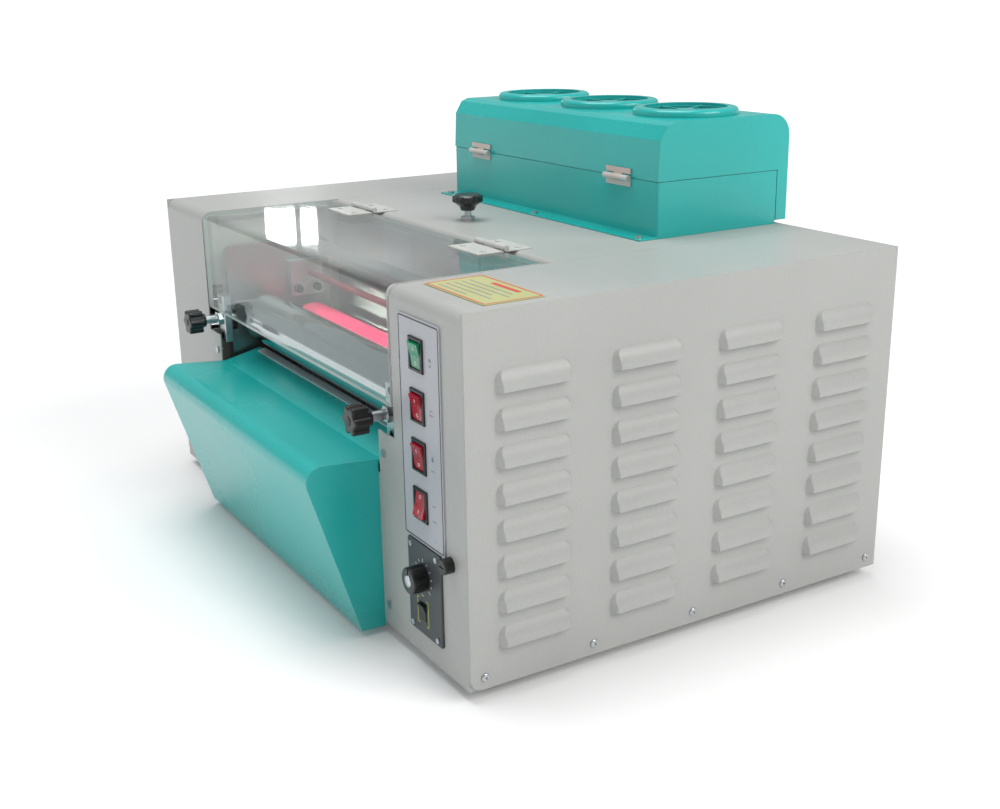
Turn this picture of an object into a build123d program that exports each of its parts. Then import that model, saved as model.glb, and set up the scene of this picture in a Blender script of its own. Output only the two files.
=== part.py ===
"""Tabletop roller varnish coater with a lamp house, as separate named pieces.

Frame: X to the operator's right, Y to the back, Z up. The origin lies on the table,
under the middle of the whole machine. All lengths are in millimetres.
"""
import math
import os

from build123d import *

os.makedirs("parts", exist_ok=True)

# ---------------------------------------------------------------- overall sizes
case_width = 770
case_depth = 508
case_height = 350
foot_height = 12
sheet = 1.5
corner_radius = 13

hood_reach = 82
front_y = -220
rear_y = front_y + case_depth
floor_z = foot_height
top_z = floor_z + case_height
half_width = case_width / 2
inner_half = half_width - sheet

# the roller bay between the two towers
bay_half = 252
bay_sill_z = 216
hood_sill_z = 172
hood_cut_half = 218
bay_back_y = front_y + 178
seam = 0.5
over = 1

# clearances
running = 0.08
snug = 0.05
roller_gap = 0.3

# frame plates that carry the rollers
plate_middle_x = 230
plate_thick = 12
plate_inner_x = plate_middle_x - plate_thick / 2
plate_outer_x = plate_middle_x + plate_thick / 2
plate_front_y = front_y + 18
plate_rear_y = -68
plate_top_z = 322

# rollers
roller_radius = 30
rubber_thick = 6
roller_half = 192
journal_radius = 10
metering_y = front_y + 55
metering_z = 234
nip_pitch = 2 * roller_radius + roller_gap
nip_slope = math.radians(16.6)
coating_y = metering_y + nip_pitch * math.cos(nip_slope)
coating_z = metering_z - nip_pitch * math.sin(nip_slope)
impression_y = coating_y
impression_z = coating_z - nip_pitch

# sliding blocks of the metering roller and their screws
block_width = 16
block_height = 30
block_front_y = metering_y - 30
block_rear_y = metering_y + 18
block_flange = 4
carriage_travel = 3
slot_rear_y = block_rear_y + 4
end_bar_thick = 10
end_bar_width = 20
end_bar_height = 58
end_bar_front_y = plate_front_y - end_bar_thick
screw_radius = 5
star_knob_radius = 15
star_knob_length = 22
star_knob_rear_y = front_y - 14

# gears on the left journals
gear_teeth = 30
gear_width = 12
gear_x = -268
module = nip_pitch / gear_teeth

# conveyor
conveyor_radius = 15
conveyor_half = 200
conveyor_belt_half = 205
conveyor_belt_thick = 1.5
idler_y = -55
drive_y = 258
conveyor_z = 166.5
belt_gap = 0.3

# lamp house
lamp_half = 213
lamp_front_y = front_y + 335
lamp_rear_y = front_y + 500
lamp_base_height = 59
lamp_seam = 0.5
lid_top_z = top_z + 120
lid_rear_y = front_y + 516
lid_wall = 2
lid_base_z = top_z + lamp_base_height + lamp_seam
lamp_hinge_x = 145
lamp_hinge_width = 44
vent_radius = 58
vent_pitch = 142
vent_y = front_y + 427
vent_height = 8

# clear cover
cover_half = 247
cover_thick = 5
cover_front_y = front_y
cover_rear_y = front_y + 168
cover_bottom_z = floor_z + 234
cover_hinge_x = 150
cover_hinge_width = 60
cover_axis_y = cover_rear_y + 2
cover_axis_z = top_z + 3.6
knuckle_radius = 3.2
hinge_pin_radius = 1.6


# ---------------------------------------------------------------- shape helpers
def block(x0, x1, y0, y1, z0, z1, mode=Mode.ADD):
    """Rectangular block between two corners."""
    with Locations(((x0 + x1) / 2, (y0 + y1) / 2, (z0 + z1) / 2)):
        Box(abs(x1 - x0), abs(y1 - y0), abs(z1 - z0), mode=mode)


def bar_x(x0, x1, y, z, radius, mode=Mode.ADD):
    """Round bar along X."""
    with Locations(Location(((x0 + x1) / 2, y, z), (0, 90, 0))):
        Cylinder(radius, abs(x1 - x0), mode=mode)


def bar_y(y0, y1, x, z, radius, mode=Mode.ADD):
    """Round bar along Y."""
    with Locations(Location((x, (y0 + y1) / 2, z), (90, 0, 0))):
        Cylinder(radius, abs(y1 - y0), mode=mode)


def bar_z(z0, z1, x, y, radius, mode=Mode.ADD):
    """Round bar along Z."""
    with Locations((x, y, (z0 + z1) / 2)):
        Cylinder(radius, abs(z1 - z0), mode=mode)


def hex_along_y(x, z, y0, y1, across_flats, mode=Mode.ADD):
    """Hexagon bar along Y."""
    with BuildSketch(Plane.XZ.offset(-y0)) as outline:
        with Locations((x, z)):
            RegularPolygon(across_flats / math.sqrt(3), 6)
    extrude(outline.sketch, amount=-(y1 - y0), mode=mode)


def cap_screw_y(x, z, face_y, head_radius, head_length, shank_radius, shank_length):
    """Socket screw whose head stands in front of a face that looks to -Y."""
    bar_y(face_y - head_length, face_y, x, z, head_radius)
    bar_y(face_y, face_y + shank_length, x, z, shank_radius)
    hex_along_y(x, z, face_y - head_length, face_y - head_length / 2, head_radius, Mode.SUBTRACT)


def save(part, name):
    """Label one piece and write its file."""
    part.label = name
    export_step(part, "parts/" + name + ".step")


# ---------------------------------------------------------------- base pan and feet
pan_flange = 16
foot_x = 350
foot_inset = 30
foot_front_y = front_y + foot_inset
foot_rear_y = rear_y - foot_inset
foot_radius = 16
foot_bolt_radius = 3
foot_chamfer = 3
foot_recess_radius = 6
foot_recess_depth = 4
foot_bolt_length = 4
foot_places = [
    (-foot_x, foot_front_y),
    (foot_x, foot_front_y),
    (-foot_x, foot_rear_y),
    (foot_x, foot_rear_y),
]

with BuildPart() as feet:
    with Locations(*[(x, y, foot_height / 2) for x, y in foot_places]):
        Cylinder(foot_radius, foot_height)
    chamfer(feet.edges().filter_by(GeomType.CIRCLE).group_by(Axis.Z)[0], foot_chamfer)
    for x, y in foot_places:
        bar_z(0, foot_recess_depth, x, y, foot_recess_radius, Mode.SUBTRACT)
        bar_z(foot_height, foot_height + foot_bolt_length, x, y, foot_bolt_radius)
save(feet.part, "feet")

# ---------------------------------------------------------------- louvred side panels
louvre_length = 78.8
louvre_height = 19
louvre_depth = 7
louvre_wall = 1.2
louvre_first_y = front_y + foot_inset + louvre_length / 2
louvre_pitch_y = 123
louvre_columns = 4
louvre_first_z = floor_z + 38.6
louvre_pitch_z = 34.2
louvre_rows = 8
louvre_end_taper = 38
louvre_round_spare = 40


def louvre_solid(length, height, depth, reach_back):
    """Half-round scoop with its mouth down, its back on the plane x = -reach_back."""
    with BuildPart() as scoop:
        with BuildSketch(Plane.XZ) as section:
            with BuildLine():
                ThreePointArc((depth, 0), (depth * 0.72, height * 0.6), (0, height))
                if reach_back > 0:
                    Line((0, height), (-reach_back, height))
                    Line((-reach_back, height), (-reach_back, 0))
                else:
                    Line((0, height), (0, 0))
                Line((-reach_back, 0), (depth, 0))
            make_face()
        extrude(section.sketch, amount=length / 2, both=True)
        with BuildSketch(Plane.YZ.offset(-reach_back)) as outline:
            with Locations((0, (height - louvre_round_spare) / 2)):
                RectangleRounded(length, height + louvre_round_spare, height / 2)
        extrude(
            outline.sketch,
            amount=reach_back + depth + over,
            taper=louvre_end_taper if reach_back == 0 else louvre_end_taper / 2,
            mode=Mode.INTERSECT,
        )
    return scoop.part


louvre_outside = louvre_solid(louvre_length, louvre_height, louvre_depth, 0)
louvre_inside = louvre_solid(
    louvre_length - 4 * louvre_wall,
    louvre_height - 2 * louvre_wall,
    louvre_depth - louvre_wall,
    2 * sheet,
)
louvre_places = [
    (half_width, louvre_first_y + column * louvre_pitch_y, louvre_first_z + row * louvre_pitch_z)
    for column in range(louvre_columns)
    for row in range(louvre_rows)
]

with BuildPart() as right_side_panel:
    with BuildSketch(Plane.YZ.offset(inner_half)) as panel_outline:
        with Locations(((front_y + rear_y) / 2, (floor_z + top_z) / 2)):
            Rectangle(case_depth, case_height)
        fillet(panel_outline.vertices().group_by(Axis.Y)[0].sort_by(Axis.Z)[-1], corner_radius)
    extrude(amount=sheet)
    with Locations(*louvre_places):
        add(louvre_outside)
    with Locations(*louvre_places):
        add(louvre_inside, mode=Mode.SUBTRACT)
save(right_side_panel.part, "right_side_panel")

with BuildPart() as left_side_panel:
    add(right_side_panel.part.mirror(Plane.YZ))
save(left_side_panel.part, "left_side_panel")

# ---------------------------------------------------------------- front sheet
label_x0 = 270
label_x1 = 347
label_z0 = 130
label_z1 = 343
label_thick = 1.5
switch_x = 305
switch_heights = (310, 262, 215, 168)
bezel_width = 25.5
bezel_height = 31
bezel_thick = 2
housing_width = 21.8
housing_height = 28.2
cutout_play = 0.2
unit_x0 = 276
unit_x1 = 339
unit_z0 = 36
unit_z1 = 129
unit_thick = 2.5
unit_body_half_width = 27
unit_body_half_height = 40
unit_body_depth = 60
unit_middle_x = (unit_x0 + unit_x1) / 2
unit_middle_z = (unit_z0 + unit_z1) / 2
fuse_x = 355
fuse_z = 127
fuse_body_radius = 6
case_screw_radius = 2

case_screw_x = 229
case_screw_high_z = 195
case_screw_low_z = 36
case_screw_places = [
    (case_screw_x, case_screw_high_z),
    (-case_screw_x, case_screw_high_z),
    (case_screw_x, case_screw_low_z),
    (-case_screw_x, case_screw_low_z),
]
with BuildPart() as front_panel:
    with BuildSketch(Plane.YZ) as bent_sheet:
        with Locations(((front_y + rear_y) / 2, (floor_z + top_z) / 2)):
            Rectangle(case_depth, case_height)
        fillet(bent_sheet.vertices().group_by(Axis.X)[0].sort_by(Axis.Y)[-1], corner_radius)
        with BuildSketch(mode=Mode.SUBTRACT) as hollow:
            with Locations(((front_y + rear_y) / 2 + sheet, (floor_z + top_z) / 2 - sheet)):
                Rectangle(case_depth, case_height)
            fillet(hollow.vertices().group_by(Axis.X)[0].sort_by(Axis.Y)[-1], corner_radius - sheet)
    extrude(amount=inner_half, both=True)
    block(-bay_half, bay_half, front_y - over, rear_y + over, bay_sill_z, top_z + over, Mode.SUBTRACT)
    block(
        -hood_cut_half,
        hood_cut_half,
        front_y - over,
        front_y + sheet + over,
        hood_sill_z,
        bay_sill_z + over,
        Mode.SUBTRACT,
    )
    for height in switch_heights:
        block(
            switch_x - housing_width / 2 - cutout_play / 2,
            switch_x + housing_width / 2 + cutout_play / 2,
            front_y - over,
            front_y + sheet + over,
            height - housing_height / 2 - cutout_play / 2,
            height + housing_height / 2 + cutout_play / 2,
            Mode.SUBTRACT,
        )
    block(
        unit_middle_x - unit_body_half_width - cutout_play,
        unit_middle_x + unit_body_half_width + cutout_play,
        front_y - over,
        front_y + sheet + over,
        unit_middle_z - unit_body_half_height - cutout_play,
        unit_middle_z + unit_body_half_height + cutout_play,
        Mode.SUBTRACT,
    )
    bar_y(front_y - over, front_y + sheet + over, fuse_x, fuse_z, fuse_body_radius + running, Mode.SUBTRACT)
    for x, z in case_screw_places:
        bar_y(front_y - over, front_y + sheet + over, x, z, case_screw_radius + snug, Mode.SUBTRACT)
save(front_panel.part, "front_panel")

# ---------------------------------------------------------------- inner walls of the towers
coating_hole_radius = 14
metering_hole_radius = 16

ledge_z = top_z - cover_thick
ledge_front_y = front_y + 20
ledge_rear_y = cover_rear_y - 4
ledge_width = 12
ledge_thick = 2
ledge_drop = 14
wall_slot_rear_y = front_y + 21
wall_slot_top_z = 271

with BuildPart() as inner_walls:
    for side in (1, -1):
        block(
            side * bay_half,
            side * (bay_half + sheet),
            front_y + sheet,
            rear_y - sheet,
            floor_z + pan_flange,
            top_z - sheet,
        )
    fillet(inner_walls.edges().filter_by(Axis.X).group_by(Axis.Z)[-1].group_by(Axis.Y)[0], corner_radius)
    for side in (1, -1):
        block(
            side * (bay_half - ledge_width),
            side * bay_half,
            ledge_front_y,
            ledge_rear_y,
            ledge_z - ledge_thick,
            ledge_z,
        )
        block(
            side * (bay_half - ledge_thick),
            side * bay_half,
            ledge_front_y,
            ledge_rear_y,
            ledge_z - ledge_drop,
            ledge_z,
        )
        block(
            side * (bay_half - over),
            side * (bay_half + sheet + over),
            front_y,
            wall_slot_rear_y,
            bay_sill_z,
            wall_slot_top_z,
            Mode.SUBTRACT,
        )
    for y, z, radius in (
        (coating_y, coating_z, coating_hole_radius),
        (impression_y, impression_z, coating_hole_radius),
        (metering_y, metering_z, metering_hole_radius),
        (drive_y, conveyor_z, coating_hole_radius),
    ):
        bar_x(-bay_half - sheet - over, -bay_half + over, y, z, radius, Mode.SUBTRACT)
save(inner_walls.part, "inner_walls")

# ---------------------------------------------------------------- centre top panel with bay wall
knob_x = -10
knob_y = front_y + 235
stud_radius = 4
panel_bend = 8
lamp_window_margin = 8

with BuildPart() as centre_panel:
    with BuildSketch(Plane.YZ) as folded_sheet:
        with Locations(((bay_back_y + rear_y) / 2, (bay_sill_z + top_z) / 2)):
            Rectangle(rear_y - bay_back_y, top_z - bay_sill_z)
        fillet(folded_sheet.vertices().group_by(Axis.X)[0].sort_by(Axis.Y)[-1], panel_bend)
        with BuildSketch(mode=Mode.SUBTRACT) as folded_hollow:
            with Locations(((bay_back_y + rear_y) / 2 + sheet, (bay_sill_z + top_z) / 2 - sheet)):
                Rectangle(rear_y - bay_back_y, top_z - bay_sill_z)
            fillet(folded_hollow.vertices().group_by(Axis.X)[0].sort_by(Axis.Y)[-1], panel_bend - sheet)
    extrude(amount=bay_half - seam, both=True)
    block(
        -lamp_half + lamp_window_margin,
        lamp_half - lamp_window_margin,
        lamp_front_y + lamp_window_margin,
        lamp_rear_y - lamp_window_margin,
        top_z - sheet - over,
        top_z + over,
        Mode.SUBTRACT,
    )
    bar_z(top_z - sheet - over, top_z + over, knob_x, knob_y, stud_radius + seam, Mode.SUBTRACT)
save(centre_panel.part, "centre_panel")

# ---------------------------------------------------------------- base pan folded up as the rear wall
exit_half = 215
exit_bottom_z = 146
exit_top_z = 212
inlet_x = 320
inlet_z = 70
inlet_width = 27
inlet_height = 20
inlet_rim_half_width = 24
inlet_rim_half_height = 14
inlet_rim_thick = 3
inlet_depth = 22
socket_half_width = 12
socket_half_height = 8
socket_depth = 15
inlet_pins = ((-7, -2), (0, 2), (7, -2))

with BuildPart() as base_pan:
    block(-inner_half, inner_half, front_y + sheet, rear_y, floor_z, floor_z + pan_flange)
    block(
        -inner_half + sheet,
        inner_half - sheet,
        front_y + 2 * sheet,
        rear_y - sheet,
        floor_z + sheet,
        floor_z + pan_flange,
        Mode.SUBTRACT,
    )
    with Locations(*[(x, y, floor_z) for x, y in foot_places]):
        Cylinder(foot_bolt_radius + snug, 4 * sheet, mode=Mode.SUBTRACT)
    block(-inner_half, inner_half, rear_y - sheet, rear_y, floor_z, top_z - sheet)
    block(-exit_half, exit_half, rear_y - sheet - over, rear_y + over, exit_bottom_z, exit_top_z, Mode.SUBTRACT)
    block(
        inlet_x - inlet_width / 2 - cutout_play,
        inlet_x + inlet_width / 2 + cutout_play,
        rear_y - sheet - over,
        rear_y + over,
        inlet_z - inlet_height / 2 - cutout_play,
        inlet_z + inlet_height / 2 + cutout_play,
        Mode.SUBTRACT,
    )
save(base_pan.part, "base_pan")

with BuildPart() as power_inlet:
    block(
        inlet_x - inlet_rim_half_width,
        inlet_x + inlet_rim_half_width,
        rear_y,
        rear_y + inlet_rim_thick,
        inlet_z - inlet_rim_half_height,
        inlet_z + inlet_rim_half_height,
    )
    block(
        inlet_x - inlet_width / 2,
        inlet_x + inlet_width / 2,
        rear_y - inlet_depth,
        rear_y,
        inlet_z - inlet_height / 2,
        inlet_z + inlet_height / 2,
    )
    block(
        inlet_x - socket_half_width,
        inlet_x + socket_half_width,
        rear_y - socket_depth,
        rear_y + inlet_rim_thick + over,
        inlet_z - socket_half_height,
        inlet_z + socket_half_height,
        Mode.SUBTRACT,
    )
    for pin_x, pin_z in inlet_pins:
        block(
            inlet_x + pin_x - 1,
            inlet_x + pin_x + 1,
            rear_y - socket_depth - over,
            rear_y - over,
            inlet_z + pin_z - 2,
            inlet_z + pin_z + 2,
        )
save(power_inlet.part, "power_inlet")

# ---------------------------------------------------------------- frame plates and ties
plate_slot_half = block_height / 2 + running
bearing_radius = 17.5
tie_radius = 8
tie_low_z = 44
tie_high_z = 310
tie_places = ((-190, tie_low_z), (-84, tie_low_z), (-80, tie_high_z))
end_screw_offset = 22
end_screw_z = (metering_z - end_screw_offset, metering_z + end_screw_offset)
end_screw_radius = 2.5
end_screw_length = 18
plate_corner = 10

with BuildPart() as frame_plates:
    for side in (1, -1):
        block(
            side * plate_inner_x,
            side * plate_outer_x,
            plate_front_y,
            plate_rear_y,
            floor_z + sheet,
            plate_top_z,
        )
    fillet(frame_plates.edges().filter_by(Axis.X).group_by(Axis.Z)[-1], plate_corner)
    for side in (1, -1):
        block(
            side * (plate_inner_x - over),
            side * (plate_outer_x + over),
            plate_front_y - over,
            slot_rear_y,
            metering_z - plate_slot_half,
            metering_z + plate_slot_half,
            Mode.SUBTRACT,
        )
        for y, z in ((coating_y, coating_z), (impression_y, impression_z)):
            bar_x(
                side * (plate_inner_x - over),
                side * (plate_outer_x + over),
                y,
                z,
                bearing_radius + snug,
                Mode.SUBTRACT,
            )
        for z in end_screw_z:
            bar_y(
                plate_front_y - over,
                plate_front_y + end_screw_length - 3,
                side * plate_middle_x,
                z,
                end_screw_radius + snug,
                Mode.SUBTRACT,
            )
save(frame_plates.part, "frame_plates")

with BuildPart() as cross_ties:
    for y, z in tie_places:
        bar_x(-plate_inner_x, plate_inner_x, y, z, tie_radius)
save(cross_ties.part, "cross_ties")

# ---------------------------------------------------------------- rollers with their gears
shoulder_radius = 15
shoulder_end_x = plate_inner_x - 5
journal_left_x = gear_x - gear_width / 2 - 2
pulley_outer_x = -302
right_journal_x = plate_outer_x + 6
roller_chamfer = 1.5
drive_belt_width = 7
drive_belt_thick = 2
pulley_gap = 0.3
belt_one_x = -284
belt_two_x = -296
roller_pulley_radius = 20
motor_pulley_radius = 13

tooth_step = 360 / gear_teeth
addendum = 0.85 * module
dedendum = 1.1 * module
tip_half = 0.30 * module
root_half = 0.95 * module
mesh_angle = 180 - math.degrees(nip_slope)


def gear(y, z, first_tooth):
    """Spur gear on a journal, one tooth centred at the given angle."""
    pitch_radius = module * gear_teeth / 2
    root_radius = pitch_radius - dedendum
    with BuildSketch(Plane.YZ.offset(gear_x - gear_width / 2)) as teeth:
        with Locations((y, z)):
            Circle(root_radius)
            with PolarLocations(0, gear_teeth, first_tooth):
                with BuildLine(mode=Mode.PRIVATE) as flank:
                    Polyline(
                        (root_radius - 1, -root_half),
                        (pitch_radius + addendum, -tip_half),
                        (pitch_radius + addendum, tip_half),
                        (root_radius - 1, root_half),
                        close=True,
                    )
                add(make_face(flank.edges(), mode=Mode.PRIVATE))
    extrude(teeth.sketch, amount=gear_width)


def pulley(middle_xs, y, z, seat_radius):
    """Flat-belt pulley with a flange on each side of every belt seat."""
    reach = drive_belt_width / 2 + 1
    bar_x(min(middle_xs) - reach - 1, max(middle_xs) + reach + 1, y, z, seat_radius)
    for middle_x in middle_xs:
        for side in (1, -1):
            bar_x(
                middle_x + side * reach,
                middle_x + side * (reach + 1),
                y,
                z,
                seat_radius + drive_belt_thick + 1.5,
            )


# the coating gear has a gap facing straight down, the impression gear a tooth facing up;
# the metering gear is turned so that its gap meets the nearest coating tooth
nearest_tooth = round(mesh_angle / tooth_step) * tooth_step
metering_phase = (mesh_angle - 180) - (nearest_tooth - mesh_angle) + tooth_step / 2

with BuildPart() as metering_roller:
    bar_x(-roller_half, roller_half, metering_y, metering_z, roller_radius)
    chamfer(metering_roller.edges().filter_by(GeomType.CIRCLE), roller_chamfer)
    bar_x(-shoulder_end_x, shoulder_end_x, metering_y, metering_z, shoulder_radius)
    bar_x(journal_left_x, right_journal_x, metering_y, metering_z, journal_radius)
    gear(metering_y, metering_z, metering_phase)
save(metering_roller.part, "metering_roller")

with BuildPart() as coating_roller_core:
    bar_x(-roller_half - 2, roller_half + 2, coating_y, coating_z, roller_radius - rubber_thick)
    bar_x(-shoulder_end_x, shoulder_end_x, coating_y, coating_z, shoulder_radius)
    bar_x(journal_left_x, right_journal_x, coating_y, coating_z, journal_radius)
    gear(coating_y, coating_z, 0)
save(coating_roller_core.part, "coating_roller_core")

with BuildPart() as coating_roller_sleeve:
    bar_x(-roller_half, roller_half, coating_y, coating_z, roller_radius)
    chamfer(coating_roller_sleeve.edges().filter_by(GeomType.CIRCLE), roller_chamfer)
    bar_x(
        -roller_half - 1,
        roller_half + 1,
        coating_y,
        coating_z,
        roller_radius - rubber_thick + 0.02,
        Mode.SUBTRACT,
    )
save(coating_roller_sleeve.part, "coating_roller_sleeve")

with BuildPart() as impression_roller:
    bar_x(-roller_half, roller_half, impression_y, impression_z, roller_radius)
    chamfer(impression_roller.edges().filter_by(GeomType.CIRCLE), roller_chamfer)
    bar_x(-shoulder_end_x, shoulder_end_x, impression_y, impression_z, shoulder_radius)
    bar_x(pulley_outer_x, right_journal_x, impression_y, impression_z, journal_radius)
    gear(impression_y, impression_z, tooth_step / 2)
    pulley((belt_one_x, belt_two_x), impression_y, impression_z, roller_pulley_radius)
save(impression_roller.part, "impression_roller")

# ---------------------------------------------------------------- sliding blocks, end bars, screws
screw_tip_y = end_bar_front_y + 29
screw_hole_end_y = screw_tip_y + 4
end_head_radius = 4.2
end_head_length = 4.5
collar_radius = 7

with BuildPart() as bearing_blocks:
    for side in (1, -1):
        block(
            side * (plate_middle_x - block_width / 2),
            side * (plate_middle_x + block_width / 2),
            block_front_y,
            block_rear_y,
            metering_z - block_height / 2,
            metering_z + block_height / 2,
        )
        for inner, outer in (
            (plate_inner_x - 3 - running, plate_inner_x - running),
            (plate_outer_x + running, plate_outer_x + 3 + running),
        ):
            block(
                side * inner,
                side * outer,
                block_front_y,
                block_rear_y,
                metering_z - block_height / 2 - block_flange,
                metering_z + block_height / 2 + block_flange,
            )
        bar_x(
            side * (plate_inner_x - 6),
            side * (plate_outer_x + 6),
            metering_y,
            metering_z,
            journal_radius + running,
            Mode.SUBTRACT,
        )
        bar_y(
            block_front_y - 1,
            screw_hole_end_y,
            side * plate_middle_x,
            metering_z,
            screw_radius + running,
            Mode.SUBTRACT,
        )
save(bearing_blocks.part, "bearing_blocks")

for side, stem_name, knob_name in (
    (1, "right_screw_stem", "right_star_knob"),
    (-1, "left_screw_stem", "left_star_knob"),
):
    screw_x = side * plate_middle_x
    with BuildPart() as screw_stem:
        bar_y(star_knob_rear_y - 16, screw_tip_y, screw_x, metering_z, screw_radius)
        bar_y(plate_front_y + running, plate_front_y + 2.5, screw_x, metering_z, collar_radius)
        hex_along_y(screw_x, metering_z, end_bar_front_y - 6, end_bar_front_y - running, 15)
    save(screw_stem.part, stem_name)
    with BuildPart() as star_knob:
        with BuildSketch(Plane.XZ.offset(-(star_knob_rear_y - star_knob_length))) as star:
            with Locations((screw_x, metering_z)):
                Circle(star_knob_radius * 0.8)
                with PolarLocations(star_knob_radius * 0.72, 6):
                    Circle(star_knob_radius * 0.28)
        extrude(amount=-(star_knob_length - 5))
        fillet(star_knob.edges().group_by(Axis.Y)[0], 2)
        bar_y(star_knob_rear_y - 6, star_knob_rear_y, screw_x, metering_z, star_knob_radius * 0.55)
        bar_y(
            star_knob_rear_y - 16,
            star_knob_rear_y + 1,
            screw_x,
            metering_z,
            screw_radius + snug,
            Mode.SUBTRACT,
        )
    save(star_knob.part, knob_name)

# ---------------------------------------------------------------- feed bar above the rollers
feed_bar_y = front_y + 122
feed_bar_z = floor_z + 268
feed_bar_radius = 4
holder_thick = 12
holder_front_y = front_y + 95
holder_rear_y = front_y + 138
holder_bottom_z = floor_z + 241
holder_top_z = floor_z + 285
holder_bolt_z = floor_z + 250
holder_bolt_ys = (holder_front_y + 9, holder_rear_y - 9)
holder_bolt_radius = 3

with BuildPart() as roller_brackets:
    for side in (1, -1):
        block(
            side * (plate_middle_x - end_bar_width / 2),
            side * (plate_middle_x + end_bar_width / 2),
            end_bar_front_y,
            plate_front_y,
            metering_z - end_bar_height / 2,
            metering_z + end_bar_height / 2,
        )
    chamfer(roller_brackets.edges().filter_by(Axis.Z), 1)
    for side in (1, -1):
        bar_y(
            end_bar_front_y - 1,
            plate_front_y + 1,
            side * plate_middle_x,
            metering_z,
            screw_radius + running,
            Mode.SUBTRACT,
        )
        for z in end_screw_z:
            bar_y(
                end_bar_front_y - 1,
                plate_front_y + 1,
                side * plate_middle_x,
                z,
                end_screw_radius + snug,
                Mode.SUBTRACT,
            )
            bar_y(
                end_bar_front_y - 1,
                end_bar_front_y + end_head_length,
                side * plate_middle_x,
                z,
                end_head_radius + snug,
                Mode.SUBTRACT,
            )
        block(
            side * (plate_inner_x - holder_thick),
            side * plate_inner_x,
            holder_front_y,
            holder_rear_y,
            holder_bottom_z,
            holder_top_z,
        )
        bar_x(
            side * (plate_inner_x - holder_thick - 1),
            side * (plate_inner_x + 1),
            feed_bar_y,
            feed_bar_z,
            feed_bar_radius + snug,
            Mode.SUBTRACT,
        )
        for y in holder_bolt_ys:
            bar_x(
                side * (plate_inner_x - holder_thick - 1),
                side * (plate_inner_x + 1),
                y,
                holder_bolt_z,
                holder_bolt_radius + snug,
                Mode.SUBTRACT,
            )
save(roller_brackets.part, "roller_brackets")

with BuildPart() as feed_bar:
    bar_x(-plate_inner_x, plate_inner_x, feed_bar_y, feed_bar_z, feed_bar_radius)
    bar_x(-plate_inner_x + 2, plate_inner_x - 2, feed_bar_y, feed_bar_z, feed_bar_radius - 1.2, Mode.SUBTRACT)
    for place in range(-9, 10):
        bar_z(feed_bar_z - 6, feed_bar_z, place * 20, feed_bar_y, 0.8, Mode.SUBTRACT)
save(feed_bar.part, "feed_bar")

with BuildPart() as bracket_bolts:
    for side in (1, -1):
        for z in end_screw_z:
            cap_screw_y(
                side * plate_middle_x,
                z,
                end_bar_front_y + end_head_length,
                end_head_radius,
                end_head_length,
                end_screw_radius,
                end_screw_length,
            )
        for y in holder_bolt_ys:
            head_face = plate_inner_x - holder_thick
            bar_x(side * (head_face - 5), side * head_face, y, holder_bolt_z, 5)
            bar_x(side * head_face, side * plate_inner_x, y, holder_bolt_z, holder_bolt_radius)
save(bracket_bolts.part, "bracket_bolts")

# ---------------------------------------------------------------- drip tray under the rollers
tray_bottom_z = tie_places[0][1] + tie_radius
tray_wall = 1.2
tray_half = 210
tray_front_y = -198
tray_rear_y = -76
tray_depth = 30

with BuildPart() as drip_tray:
    block(-tray_half, tray_half, tray_front_y, tray_rear_y, tray_bottom_z, tray_bottom_z + tray_depth)
    block(
        -tray_half + tray_wall,
        tray_half - tray_wall,
        tray_front_y + tray_wall,
        tray_rear_y - tray_wall,
        tray_bottom_z + tray_wall,
        tray_bottom_z + tray_depth + over,
        Mode.SUBTRACT,
    )
save(drip_tray.part, "drip_tray")

# ---------------------------------------------------------------- conveyor
conveyor_journal_radius = 6
journal_end_gap = 3
flange_bearing_inner_x = 238
flange_bearing_half_depth = 12
flange_bearing_half_height = 14
bed_front_gap = 22
bed_rear_gap = 20
bed_lip = 14
conveyor_inner_radius = conveyor_radius + belt_gap
conveyor_outer_radius = conveyor_inner_radius + conveyor_belt_thick
conveyor_pulley_radius = roller_pulley_radius * conveyor_outer_radius / roller_radius

with BuildPart() as conveyor_idler:
    bar_x(-conveyor_half, conveyor_half, idler_y, conveyor_z, conveyor_radius)
    chamfer(conveyor_idler.edges().filter_by(GeomType.CIRCLE), 1)
    bar_x(-bay_half + journal_end_gap, bay_half - journal_end_gap, idler_y, conveyor_z, conveyor_journal_radius)
save(conveyor_idler.part, "conveyor_idler")

with BuildPart() as conveyor_drive_roller:
    bar_x(-conveyor_half, conveyor_half, drive_y, conveyor_z, conveyor_radius)
    chamfer(conveyor_drive_roller.edges().filter_by(GeomType.CIRCLE), 1)
    bar_x(pulley_outer_x, bay_half - journal_end_gap, drive_y, conveyor_z, conveyor_journal_radius)
    pulley((belt_two_x,), drive_y, conveyor_z, conveyor_pulley_radius)
save(conveyor_drive_roller.part, "conveyor_drive_roller")

with BuildPart() as conveyor_belt:
    with BuildSketch(Plane.YZ) as belt_loop:
        with Locations(((idler_y + drive_y) / 2, conveyor_z)):
            SlotCenterToCenter(drive_y - idler_y, 2 * conveyor_outer_radius)
            SlotCenterToCenter(drive_y - idler_y, 2 * conveyor_inner_radius, mode=Mode.SUBTRACT)
    extrude(amount=conveyor_belt_half, both=True)
save(conveyor_belt.part, "conveyor_belt")

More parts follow.
